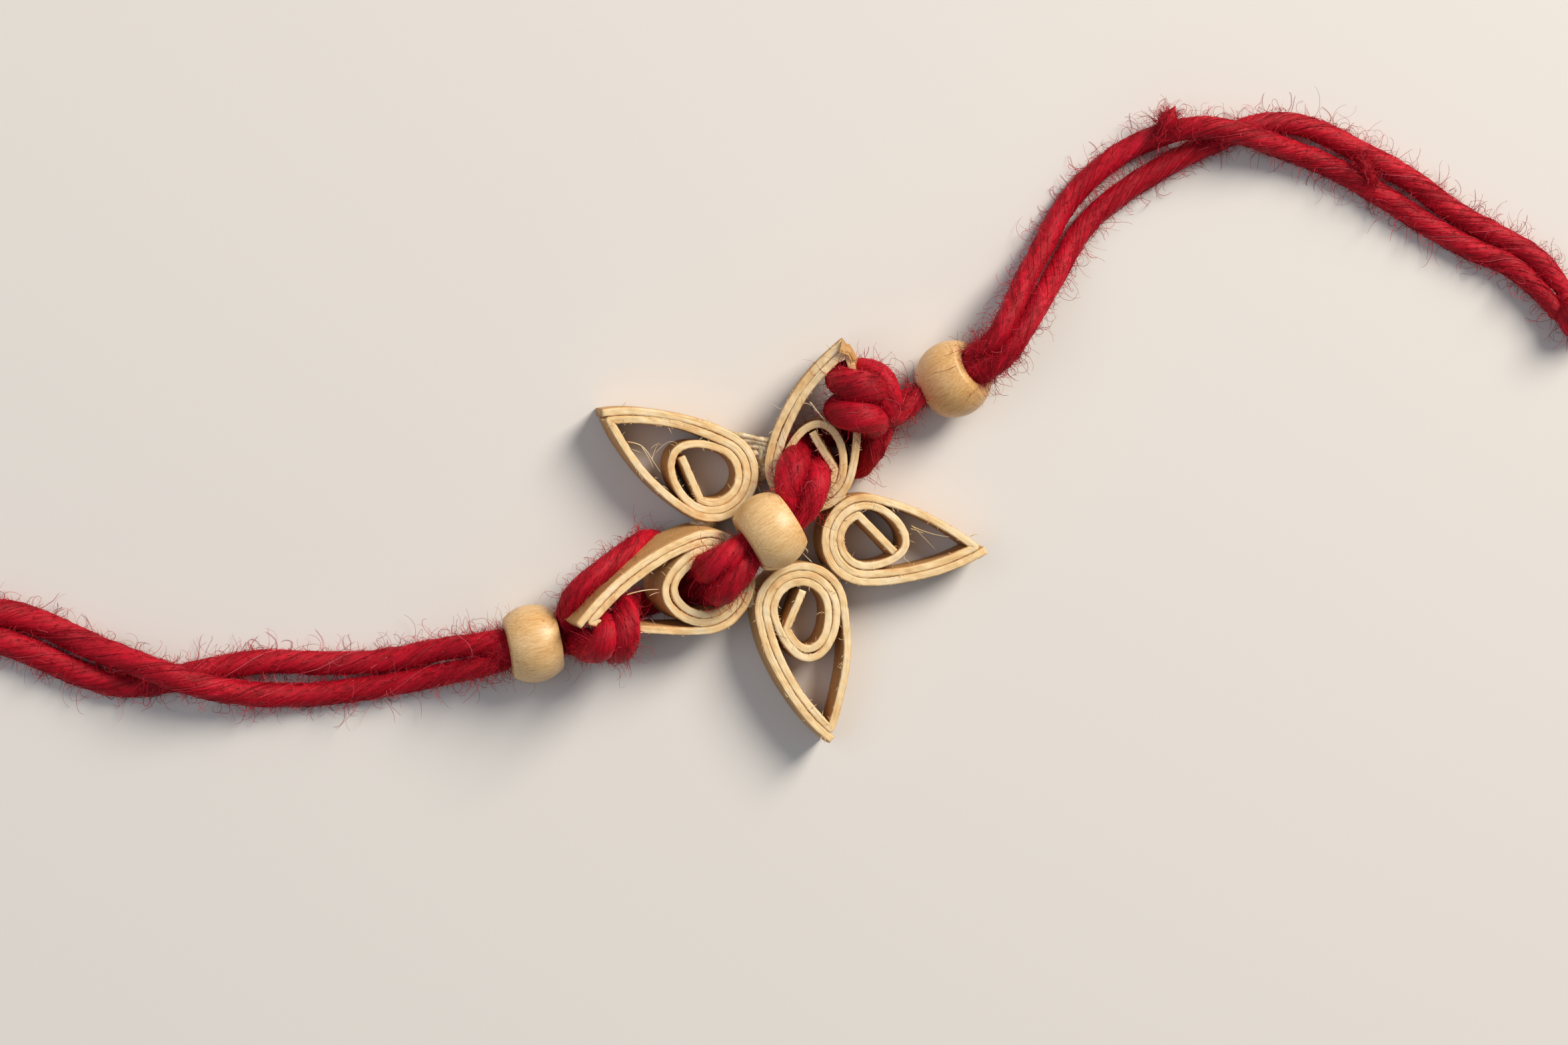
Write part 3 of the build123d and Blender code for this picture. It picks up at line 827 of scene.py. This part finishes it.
# A petal's columns are those of the wound strip's real form, with angles in degrees:
# bearing, spread: where the coil's top centre lies from the middle of the flower, in coil radii
# heading: the way the petal points
# reach, coil: shares of petal_reach and coil_radius
# leave_a, leave_b: how far round the coil the doubled and the single side leave it
# nose, rings: how far the closed rings reach, in coil radii, and how many there are
# end, tail: where the strip folds inside them, and where its straight tail lands
# overrun: how far the outer end passes the tip, in thicknesses
# side: which side is doubled
# tilt, tilt_heading, lift: how far and which way the petal leans, and its rise in thicknesses
# Petal 4's strip folds before its last bend has closed, as in the photograph.
Petal = namedtuple(
    "Petal",
    "name bearing spread heading reach coil leave_a leave_b nose rings end tail overrun"
    " side tilt tilt_heading lift",
)
PETALS = [
    Petal("petal_1", 136.2, 1.915, 152.0, 0.96, 1.00, 89, 85, 1.02, 1, 268, 2, 0.9, -1, 0, 0, 0),
    Petal("petal_2", 65.7, 1.64, 72.6, 1.00, 0.97, 95, 86, 1.01, 1, 280, 13, 0.2, 1, 12, 15, 0.6),
    Petal("petal_3", -2.6, 1.965, -4.2, 0.92, 0.98, 87, 80, 0.94, 1, 248, 20, 1.1, -1, 0, 0, 0),
    Petal("petal_4", -70.9, 1.665, -76.0, 1.015, 1.01, 92, 86, 1.14, 2, 57, 197, 1.2, -1, 0, 0, 0),
    Petal("petal_5", 211.8, 1.79, 195.6, 1.06, 1.12, 88, 75, 1.07, 2, 200, 0, 1.6, -1, 17, 160, 0),
]
PATH_STEP = 0.25
COIL_MIDDLE = Vector((0, 0))


def polar(radius, angle):
    return Vector((radius * math.cos(math.radians(angle)), radius * math.sin(math.radians(angle))))


def layer_radius(petal, layer):
    return coil_radius * petal.coil - strip_thickness / 2 - layer * pitch


def side_arc(petal, layer, leave):
    """Centre and radius of the side that leaves the coil's layer smoothly and ends at the fold."""
    radius, reach = layer_radius(petal, layer), petal_reach * petal.reach
    back = (reach**2 - radius**2) / (2 * (radius - reach * math.cos(math.radians(leave))))
    return polar(-back, leave), radius + back


def angle_of(vector):
    return math.degrees(math.atan2(vector.y, vector.x))


def fold_angle(petal, centre):
    return angle_of(Vector((petal_reach * petal.reach, 0)) - centre)


def arc_points(centre, radius, start, sweep):
    steps = max(int(abs(math.radians(sweep)) * radius / PATH_STEP), 2)
    return [centre + polar(radius, start + sweep * k / steps) for k in range(steps + 1)]


def bend_points(start, start_way, end, end_way):
    """Points along a smooth bend between two places, with the way it runs at each."""
    chord = (end - start).length
    steps = max(int(chord * 1.1 / PATH_STEP), 2)
    points = []
    for k in range(steps + 1):
        t = k / steps
        points.append(
            start * (2 * t**3 - 3 * t**2 + 1) + start_way * chord * (t**3 - 2 * t**2 + t)
            + end * (3 * t**2 - 2 * t**3) + end_way * chord * (t**3 - t**2)
        )
    return points


def nose_reach(petal, ring):
    return coil_radius * petal.nose - strip_thickness / 2 - ring * pitch * nose_pitch_share


def nose_points(petal, ring):
    start = polar(layer_radius(petal, ring + 1), -petal.leave_b)
    tip = polar(nose_reach(petal, ring), 0)
    end = polar(layer_radius(petal, ring + 2), petal.leave_a)
    first = bend_points(start, polar(1, 90 - petal.leave_b), tip, Vector((0, 1)))
    second = bend_points(tip, Vector((0, 1)), end, polar(1, 90 + petal.leave_a))
    return first + second[1:]


def strip_legs(petal):
    """The strip's middle line as smooth legs, with a sharp fold between one leg and the next."""
    centre, radius = side_arc(petal, 1, petal.leave_a)
    fold = fold_angle(petal, centre)
    end = fold - math.degrees(petal.overrun * strip_thickness / radius)
    turn = 360 - petal.leave_b - petal.leave_a
    outer = arc_points(centre, radius + pitch, end, petal.leave_a - end)
    outer += arc_points(COIL_MIDDLE, layer_radius(petal, 0), petal.leave_a, turn)[1:]
    single, wide = side_arc(petal, 0, petal.leave_b)
    tip = fold_angle(petal, single)
    straight = arc_points(single, wide, petal.leave_b, tip - petal.leave_b)
    outer += [Vector((point.x, -point.y)) for point in straight][1:]
    inner = arc_points(centre, radius, fold, petal.leave_a - fold)
    for ring in range(petal.rings):
        reach = layer_radius(petal, ring + 1)
        inner += arc_points(COIL_MIDDLE, reach, petal.leave_a, turn)[1:]
        inner += nose_points(petal, ring)[1:]
    last = max(petal.end - petal.leave_a, 1.0)
    inner_radius = layer_radius(petal, petal.rings + 1)
    inner += arc_points(COIL_MIDDLE, inner_radius, petal.leave_a, last)[1:]
    if petal.end < petal.leave_a:
        while petal.end < angle_of(inner[-1]) < 180:
            inner.pop()
    legs = [outer, inner]
    if petal.tail:
        share = math.cos(math.radians(min(petal.tail, 90))) ** 2
        beyond = nose_reach(petal, petal.rings - 1) - pitch - inner_radius
        landing = polar(inner_radius + beyond * share, petal.tail)
        run = landing - inner[-1]
        steps = int(run.length / PATH_STEP)
        legs.append([inner[-1] + run * (k / steps) for k in range(steps + 1)])
    return legs


def petal_place(petal):
    """Where the flat petal goes: turned to its heading, leant on the yarn and set on the table."""
    centre = polar(coil_radius * petal.spread, petal.bearing)
    drop = coil_radius * petal.coil * math.sin(math.radians(petal.tilt))
    height = strip_width * math.cos(math.radians(petal.tilt)) + drop
    height += petal.lift * strip_thickness
    turns = [(petal.tilt_heading, "Z"), (-petal.tilt, "Y")]
    turns += [(petal.heading - petal.tilt_heading, "Z")]
    place = Matrix.Translation((centre.x, centre.y, height))
    for angle, axis in turns:
        place = place @ Matrix.Rotation(math.radians(angle), 4, axis)
    return place @ Matrix.Translation((0, 0, -strip_width))


# The strip's section: across in half thicknesses and up in strip widths, with soft cut corners
SECTION = [
    (-1.0, 0.30), (-1.0, 0.60), (-1.0, 0.85), (-1.0, 0.965), (-0.93, 0.989), (-0.68, 0.997),
    (-0.34, 1.0), (0.0, 0.997), (0.34, 1.0), (0.68, 0.997), (0.93, 0.989), (1.0, 0.965),
    (1.0, 0.85), (1.0, 0.60), (1.0, 0.30), (1.0, 0.04), (0.8, 0.0), (-0.8, 0.0), (-1.0, 0.04),
    (-1.0, 0.30),
]

# The steps in which a fold turns, the millimetres round it that are mitred, how near the vertices
# at a strip's seam are merged, and a petal's bristles
FOLD_STEPS = 6
MITRE_REACH = 4.0
SEAM_REACH = 0.0005
BRISTLES = 150

# How the strip is drawn: thick enough for its layers to touch, and in millimetres how its cut edge
# waves, is nicked, is worn down and bulges, and how the whole strip wanders sideways
LAYER_FILL = 1.125
THICKNESS_WEAR = 0.08
EDGE_WAVE = 0.14
EDGE_NICK = 0.08
EDGE_WORN = 0.07
EDGE_BULGE = 0.05
STRIP_WANDER = 0.11

Ring = namedtuple("Ring", "point way far leg")


def strip_rings(legs):
    """Where the strip's sections stand, turning on the spot where it is folded."""
    rings, far = [], 0.0
    for number, leg in enumerate(legs):
        ways = [(after - before).normalized() for before, after in zip(leg, leg[1:])]
        ways = [ways[0]] + [(a + b).normalized() for a, b in zip(ways, ways[1:])] + [ways[-1]]
        if number:
            last = rings[-1].way
            swing = last.angle_signed(ways[0])
            for k in range(1, FOLD_STEPS):
                turned = last.copy()
                turned.rotate(Matrix.Rotation(-swing * k / FOLD_STEPS, 2))
                rings.append(Ring(leg[0], turned, far, number - 0.5))
        for k, (point, way) in enumerate(zip(leg, ways)):
            far += (point - leg[k - 1]).length if k else 0.0
            rings.append(Ring(point, way, far, number))
    return rings


Fold = namedtuple("Fold", "point far opens aside")


def strip_folds(legs, rings):
    """Each fold's place, the way its corner opens, and the way to the leg that runs into it."""
    folds = []
    for number, (before, after) in enumerate(zip(legs, legs[1:])):
        far = next(ring.far for ring in rings if ring.leg == number + 1)
        back = (before[-2] - before[-1]).normalized()
        out = (after[1] - after[0]).normalized()
        opens = (back + out).normalized()
        aside = Vector((-opens.y, opens.x))
        folds.append(Fold(before[-1], far, opens, aside if aside.dot(back) > 0 else -aside))
    return folds


def mitred(point, ring, folds):
    """The point moved onto a fold's middle line where its own leg would cross it."""
    for number, fold in enumerate(folds):
        past = ring.leg - number - 0.5
        if abs(past) > 0.5 or abs(ring.far - fold.far) > MITRE_REACH:
            continue
        offset = point - fold.point
        over = offset.dot(fold.aside)
        if offset.dot(fold.opens) > 0 and over * past >= 0:
            point = point - fold.aside * over
    return point


# Torn splinters and fibres of the strips: the points of each, with a radius last
SPLINTERS = {
    "petal_1": [
        ([(-15.4, 9.8, 4.3), (-14.4, 9.7, 4.9), (-13.5, 9.05, 5.0), (-12.8, 7.9, 4.9),
          (-11.9, 6.6, 4.6)], 0.060),
        ([(-12.9, 7.8, 4.8), (-12.6, 9.2, 5.2), (-12.2, 9.8, 5.4)], 0.045),
        ([(-12.5, 8.6, 4.7), (-11.6, 9.7, 5.1), (-10.6, 9.9, 5.2), (-10.2, 9.5, 5.0)], 0.035),
        ([(-13.9, 9.3, 4.6), (-13.1, 8.3, 4.3), (-12.6, 7.0, 4.4)], 0.040),
        ([(-13.0, 9.0, 4.8), (-12.4, 9.9, 5.0), (-11.8, 9.4, 5.1)], 0.030),
    ],
    "petal_2": [
        ([(3.2, 13.9, 6.3), (4.1, 12.7, 6.8), (5.0, 11.5, 7.0)], 0.090),
        ([(2.4, 13.7, 6.2), (3.0, 13.8, 6.4), (3.4, 13.4, 6.5)], 0.050),
        ([(3.6, 13.1, 6.5), (4.7, 12.2, 6.9), (5.5, 11.3, 7.1)], 0.035),
        ([(4.6, 19.75, 7.9), (5.1, 19.3, 8.1), (5.6, 19.6, 7.9), (5.9, 19.4, 7.7)], 0.045),
        ([(1.6, 16.6, 6.6), (1.3, 16.8, 6.9), (1.2, 16.5, 7.1)], 0.035),
    ],
    "petal_3": [
        ([(14.1, 1.1, 4.9), (15.4, -0.2, 5.1), (16.7, -1.5, 4.8)], 0.030),
        ([(14.1, 1.0, 4.8), (16.1, 0.0, 5.2), (18.2, -0.2, 4.9)], 0.042),
        ([(14.0, 0.7, 4.8), (14.9, 0.5, 4.7), (15.6, 0.1, 4.5)], 0.060),
        ([(20.3, -0.2, 4.9), (20.9, 0.2, 5.2), (21.3, 0.0, 5.3)], 0.045),
        ([(16.9, 1.3, 4.4), (16.4, 0.9, 4.3), (16.2, 1.1, 4.2)], 0.060),
        ([(18.3, 0.6, 4.4), (17.9, 0.2, 4.2), (17.6, 0.4, 4.1)], 0.060),
    ],
    "petal_4": [
        ([(4.2, -8.2, 4.6), (4.5, -7.7, 4.9), (4.8, -8.0, 5.0)], 0.050),
        ([(3.6, -17.9, 4.9), (3.9, -17.4, 5.3), (4.2, -17.3, 5.2)], 0.050),
        ([(4.7, -20.6, 5.0), (4.5, -21.0, 5.2), (4.7, -21.3, 5.2)], 0.045),
        ([(5.0, -20.7, 4.9), (5.2, -21.1, 5.1), (5.0, -21.4, 5.0)], 0.040),
        ([(6.4, -10.5, 4.9), (6.9, -10.9, 5.2), (7.1, -10.5, 5.3)], 0.030),
    ],
    "petal_5": [
        ([(-15.9, -5.7, 7.3), (-13.9, -5.0, 7.6), (-12.2, -5.2, 6.9)], 0.075),
        ([(-13.5, -5.9, 6.8), (-12.8, -5.3, 7.3), (-12.0, -5.6, 7.0)], 0.045),
        ([(-4.6, -5.7, 5.3), (-4.1, -5.3, 5.7), (-3.9, -5.6, 5.8)], 0.060),
    ],
}


def torn_threads(name, lines, radii):
    """Thin pointed pieces of strip, with the pale colour of its cut edge."""
    mesh = threads(name, lines, radii, [0.5] * len(lines), 5)
    places = np.empty(len(mesh.vertices) * 3)
    mesh.vertices.foreach_get("co", places)
    grain = places.reshape(-1, 3) / MM
    grain[:, 1:] = (0.0, strip_width)
    set_vectors(mesh, "grain", grain)
    return mesh


def splinter_mesh(name):
    lines, radii = [], []
    for points, radius in SPLINTERS[name]:
        line = smooth_line(points, [radius] * len(points), step=0.16)
        lines.append(line.points)
        taper = np.linspace(1.2, 0.35, len(line.wide))
        taper[[0, -1]] = 0
        radii.append(line.wide * taper)
    return torn_threads(name, lines, radii)


def bristle_mesh(petal, rings, place, seed):
    """Short raised fibres along the cut edges of a strip."""
    draw = np.random.default_rng(seed)
    lines, radii = [], []
    for _ in range(BRISTLES):
        ring = rings[draw.integers(2, len(rings) - 2)]
        side = draw.choice([-1, 1])
        left = Vector((-ring.way.y, ring.way.x)) * side
        flat = ring.point + left * strip_thickness * 0.47
        way = Vector((left.x, left.y, draw.uniform(0.0, 1.2)))
        way = (way + Vector((*ring.way, 0)) * draw.uniform(-2.0, 2.0)).normalized()
        size = draw.uniform(0.15, 0.5) if draw.random() < 0.9 else draw.uniform(0.5, 1.1)
        spot = Vector((flat.x, flat.y, strip_width - draw.uniform(0.05, 0.3)))
        curl = Vector(draw.normal(0, 0.35, 3))
        points = [spot + way * size * k / 3 + curl * size * (k / 3) ** 2 for k in range(4)]
        points = [place @ Vector((p.x, p.y * petal.side, p.z)) for p in points]
        lines.append(np.array(points))
        radii.append(draw.uniform(0.014, 0.028) * MM * np.array([0, 1.2, 0.8, 0]))
    return torn_threads(petal.name, lines, radii)


# Petal 2's outer strip end, which is bent flat round the tip: its outer edge, and the way across
# to its inner one
FOLDED_END = [
    (6.30, 20.10, 8.12, -0.30, -1.20), (7.38, 19.35, 8.02, -0.48, -0.70),
    (8.00, 18.30, 7.76, -0.75, -0.30), (7.80, 17.10, 7.36, -0.50, 0.00),
]


def folded_end():
    """The flat bent end, as a thin sheet between its two edges."""
    shaped = bmesh.new()
    bmesh.ops.create_grid(shaped, x_segments=12, y_segments=5, size=1)
    grain = shaped.verts.layers.float_vector.new("grain")
    rows = np.array(FOLDED_END).T
    for vertex in shaped.verts:
        along, across = (vertex.co.x + 1) / 2, (1 - vertex.co.y) / 2
        x, y, z, over_x, over_y = [
            np.interp(along * (len(FOLDED_END) - 1), range(len(FOLDED_END)), row) for row in rows
        ]
        z += 0.1 * noise.noise((along * 3, across * 3, 1)) - 0.25 * (1 - across) ** 2
        vertex[grain] = (along * 3, strip_thickness / 2, strip_width * 0.5 + across)
        vertex.co = at(x + over_x * across, y + over_y * across, z)
    bmesh.ops.solidify(shaped, geom=shaped.verts[:] + shaped.edges[:] + shaped.faces[:],
                       thickness=0.3 * MM)
    bmesh.ops.recalc_face_normals(shaped, faces=shaped.faces)
    return mesh_from(shaped, "folded end")


def add_petal(petal, seed):
    legs = strip_legs(petal)
    rings = strip_rings(legs)
    folds = strip_folds(legs, rings)
    long, round_it = len(rings) - 1, len(SECTION) - 1
    place = Matrix.Translation(flower) @ Matrix.Scale(MM, 4) @ petal_place(petal)
    shaped = bmesh.new()
    bmesh.ops.create_grid(shaped, x_segments=long, y_segments=round_it, size=1)
    grain = shaped.verts.layers.float_vector.new("grain")
    for vertex in shaped.verts:
        ring = rings[round((vertex.co.x + 1) / 2 * long)]
        across, up = SECTION[round((vertex.co.y + 1) / 2 * round_it)]
        wear = noise.noise((ring.far * 0.22, seed, 0.0))
        nick = noise.noise((ring.far * 1.7, seed + 3.0, across * 0.8))
        half = strip_thickness / 2 * (LAYER_FILL + THICKNESS_WEAR * wear)
        high = strip_width * up
        if up > 0.9:
            wave = noise.noise((ring.far * 0.16, seed + 7.0, 0.0))
            high += EDGE_WAVE * wave + EDGE_NICK * nick - EDGE_WORN
            half += EDGE_BULGE * noise.noise((ring.far * 1.9, across * 3, seed + 5.0))
        left = Vector((-ring.way.y, ring.way.x))
        shift = STRIP_WANDER * noise.noise((ring.far * 0.22, up * 1.2, seed + 11.0))
        flat = mitred(ring.point + left * (across * half + shift), ring, folds)
        # The grain of each petal starts at a place of its own
        vertex[grain] = (ring.far + seed * 200, across * strip_thickness / 2, strip_width * up)
        vertex.co = place @ Vector((flat.x, flat.y * petal.side, high))
    bmesh.ops.remove_doubles(shaped, verts=shaped.verts, dist=SEAM_REACH * MM)
    open_edges = [edge for edge in shaped.edges if edge.is_boundary]
    bmesh.ops.holes_fill(shaped, edges=open_edges, sides=0)
    bmesh.ops.recalc_face_normals(shaped, faces=shaped.faces)
    mesh = smoothed(mesh_from(shaped, petal.name))
    torn = [mesh, bristle_mesh(petal, rings, place, seed)]
    if petal.name in SPLINTERS:
        torn.append(splinter_mesh(petal.name))
    if petal.name == "petal_2":
        torn.append(folded_end())
    add_piece(petal.name, join_meshes(petal.name, torn), cane, "strip", petal.name)


for number, petal in enumerate(PETALS):
    add_petal(petal, number + 1)


# Beads

bead_radius = 4.0
bead_half_length = 2.7
bore_radius = 1.8
bead_edge = 0.3
BEAD_STEPS = 96
BALL_STEPS = 40

# How far in from the flat end and from the ball its rounded rim's points lie, and how far in the
# ball starts
RIM_POINTS = ((0.02, 0.42), (0.06, 0.22))
ball_start = 0.12

Bead = namedtuple("Bead", "name heading tip")
BEADS = [
    Bead("bead_left", 10.5, 0), Bead("bead_centre", 32.0, 0), Bead("bead_right", 34.0, 35),
]


def bead_outline():
    """A bead's wall from the middle of its bore out over its end and round to the other end."""
    end_radius = math.sqrt(bead_radius**2 - bead_half_length**2)
    reach = math.degrees(math.asin((bead_half_length - ball_start) / bead_radius))
    ball = [
        polar(bead_radius, 90 - reach + 2 * reach * k / BALL_STEPS) for k in range(BALL_STEPS + 1)
    ]
    quarter = [polar(bead_edge, 15 * k) for k in range(7)]
    lip = [
        Vector((bead_half_length - bead_edge + way.x, bore_radius + bead_edge - way.y))
        for way in reversed(quarter)
    ]
    rim = [Vector((bead_half_length - inward, end_radius - down)) for inward, down in RIM_POINTS]
    right = lip + rim
    left = [Vector((-point.x, point.y)) for point in reversed(right)]
    return right + ball + left


def add_bead(bead):
    shaped = bmesh.new()
    points = [shaped.verts.new((p.x, 0, p.y)) for p in bead_outline()]
    edges = [shaped.edges.new(pair) for pair in zip(points, points[1:] + points[:1])]
    bmesh.ops.spin(
        shaped, geom=points + edges, cent=(0, 0, 0), axis=(1, 0, 0), angle=math.tau,
        steps=BEAD_STEPS, use_merge=True,
    )
    bmesh.ops.remove_doubles(shaped, verts=shaped.verts, dist=MERGE_REACH)
    bmesh.ops.recalc_face_normals(shaped, faces=shaped.faces)
    grain = shaped.verts.layers.float_vector.new("grain")
    # Each bead is cut from a place of its own in the wood, off the middle of the grain
    for vertex in shaped.verts:
        vertex[grain] = vertex.co + Vector((bead.heading * 3, 4.0, 2.5))
    turn = Matrix.Rotation(math.radians(bead.heading), 4, "Z")
    turn = turn @ Matrix.Rotation(math.radians(-bead.tip), 4, "Y")
    place = Matrix.Translation(middle_of(bead.name)) @ turn @ Matrix.Scale(MM, 4)
    bmesh.ops.transform(shaped, matrix=place, verts=shaped.verts)
    mesh = smoothed(mesh_from(shaped, bead.name))
    add_piece(bead.name, mesh, beech, "bead", bead.name)


for bead in BEADS:
    add_bead(bead)


# Glue between the petals

# Threads of glue drawn out between petals 1 and 2 while it was wet, with a radius last
GLUE_WEB = [
    ([(-4.6, 10.6, 4.6), (-3.2, 10.4, 4.9), (-1.4, 9.9, 5.0), (-0.6, 9.9, 4.8)], 0.24),
    ([(-4.0, 10.0, 4.4), (-2.6, 9.9, 4.7), (-1.2, 9.6, 4.8), (-0.4, 9.2, 4.6)], 0.28),
    ([(-3.4, 9.2, 4.3), (-2.2, 9.3, 4.5), (-1.2, 9.1, 4.6), (-0.3, 8.6, 4.5)], 0.26),
    ([(-2.6, 8.6, 4.2), (-1.8, 8.6, 4.3), (-1.0, 8.4, 4.4), (-0.3, 8.0, 4.3)], 0.30),
    ([(-1.9, 9.9, 4.6), (-1.5, 9.0, 4.6), (-1.4, 8.0, 4.3), (-1.2, 7.2, 4.1)], 0.30),
]
# Clear bristles of glue that stand out beside the middle bead
GLUE_HAIRS = [
    ([(2.1, -0.3, 4.6), (2.8, -0.9, 4.9), (3.4, -1.6, 4.8)], 0.035),
    ([(2.5, 0.1, 4.4), (2.9, -0.9, 4.6), (3.4, -1.8, 4.5)], 0.030),
    ([(2.7, -1.6, 4.4), (3.2, -2.2, 4.7), (3.8, -2.7, 4.6)], 0.035),
    ([(13.3, -2.3, 4.6), (13.7, -2.6, 4.9), (14.1, -3.0, 4.8)], 0.035),
]

# Which pieces of glue have threads or bristles, and how lumpy all of them are
GLUE_DRAWN = {1: GLUE_WEB, 4: GLUE_HAIRS}
BROAD_LUMPS = 0.22
FINE_LUMPS = 0.08


def glue_threads(rows):
    lines = [smooth_line(points, [radius] * len(points), step=0.12) for points, radius in rows]
    radii = []
    for line in lines:
        swell = [1 + 0.5 * noise.noise(Vector(point) * 1500) for point in line.points]
        swell[0] = swell[-1] = 0
        radii.append(line.wide * np.array(swell))
    return threads("glue", [line.points for line in lines], radii, [0.5] * len(rows), 8)


def add_glue(number):
    node = f"glue_{number}"
    low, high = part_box(node)
    middle, half = (low + high) / 2, (high - low) / 2
    shaped = bmesh.new()
    bmesh.ops.create_icosphere(shaped, subdivisions=5, radius=1)
    # Each piece takes its lumps from a place of its own
    for vertex in shaped.verts:
        lump = 1 + BROAD_LUMPS * noise.noise(vertex.co * 1.6 + Vector((number * 5, 0, 0)))
        lump += FINE_LUMPS * noise.noise(vertex.co * 5 + Vector((number * 5, 3, 0)))
        vertex.co = middle + vertex.co * half * lump
    mesh = smoothed(mesh_from(shaped, node))
    if number in GLUE_DRAWN:
        mesh = join_meshes(node, [mesh, glue_threads(GLUE_DRAWN[number])])
    add_piece(node, mesh, glue, "glue", node)


for number in range(1, 6):
    add_glue(number)


# Table and light

def add_table():
    """Painted board: pale, even and matt, so that only the band catches the eye."""
    shaped = bmesh.new()
    bmesh.ops.create_grid(shaped, x_segments=1, y_segments=1, size=3)
    table = linked("table", mesh_from(shaped, "table"))
    material = new_material("pale painted board")
    finish_material(material, Base_Color=linear("#DCDAD7"), Roughness=0.85)
    table.data.materials.append(material)


def add_light(name, colour, way, distance, wide, high, power):
    """A soft lamp that faces the flower from a way and a distance in metres."""
    data = bpy.data.lights.new(name, "AREA")
    data.shape = "ELLIPSE"
    data.size = wide
    data.size_y = high
    data.energy = power
    data.color = linear(colour)[:3]
    lamp = linked(name, data)
    way = Vector(way).normalized()
    lamp.location = at(0, 0) + way * distance
    lamp.rotation_euler = way.to_track_quat("Z", "Y").to_euler()


def add_world():
    world = bpy.data.worlds.new("studio")
    world.use_nodes = True
    back = world.node_tree.nodes["Background"]
    back.inputs["Color"].default_value = linear("#E8EAEE")
    back.inputs["Strength"].default_value = 0.25
    bpy.context.scene.world = world


add_table()
add_light(
    "key light", "#FFF4E6", way=(0.5, 0.55, 0.62), distance=1.1, wide=0.44, high=0.70, power=15.0,
)
add_light(
    "fill light", "#EEF3FF", way=(-0.6, 0.1, 0.9), distance=0.9, wide=0.7, high=0.7, power=1.6,
)
add_world()
bpy.context.scene.view_settings.view_transform = "Standard"
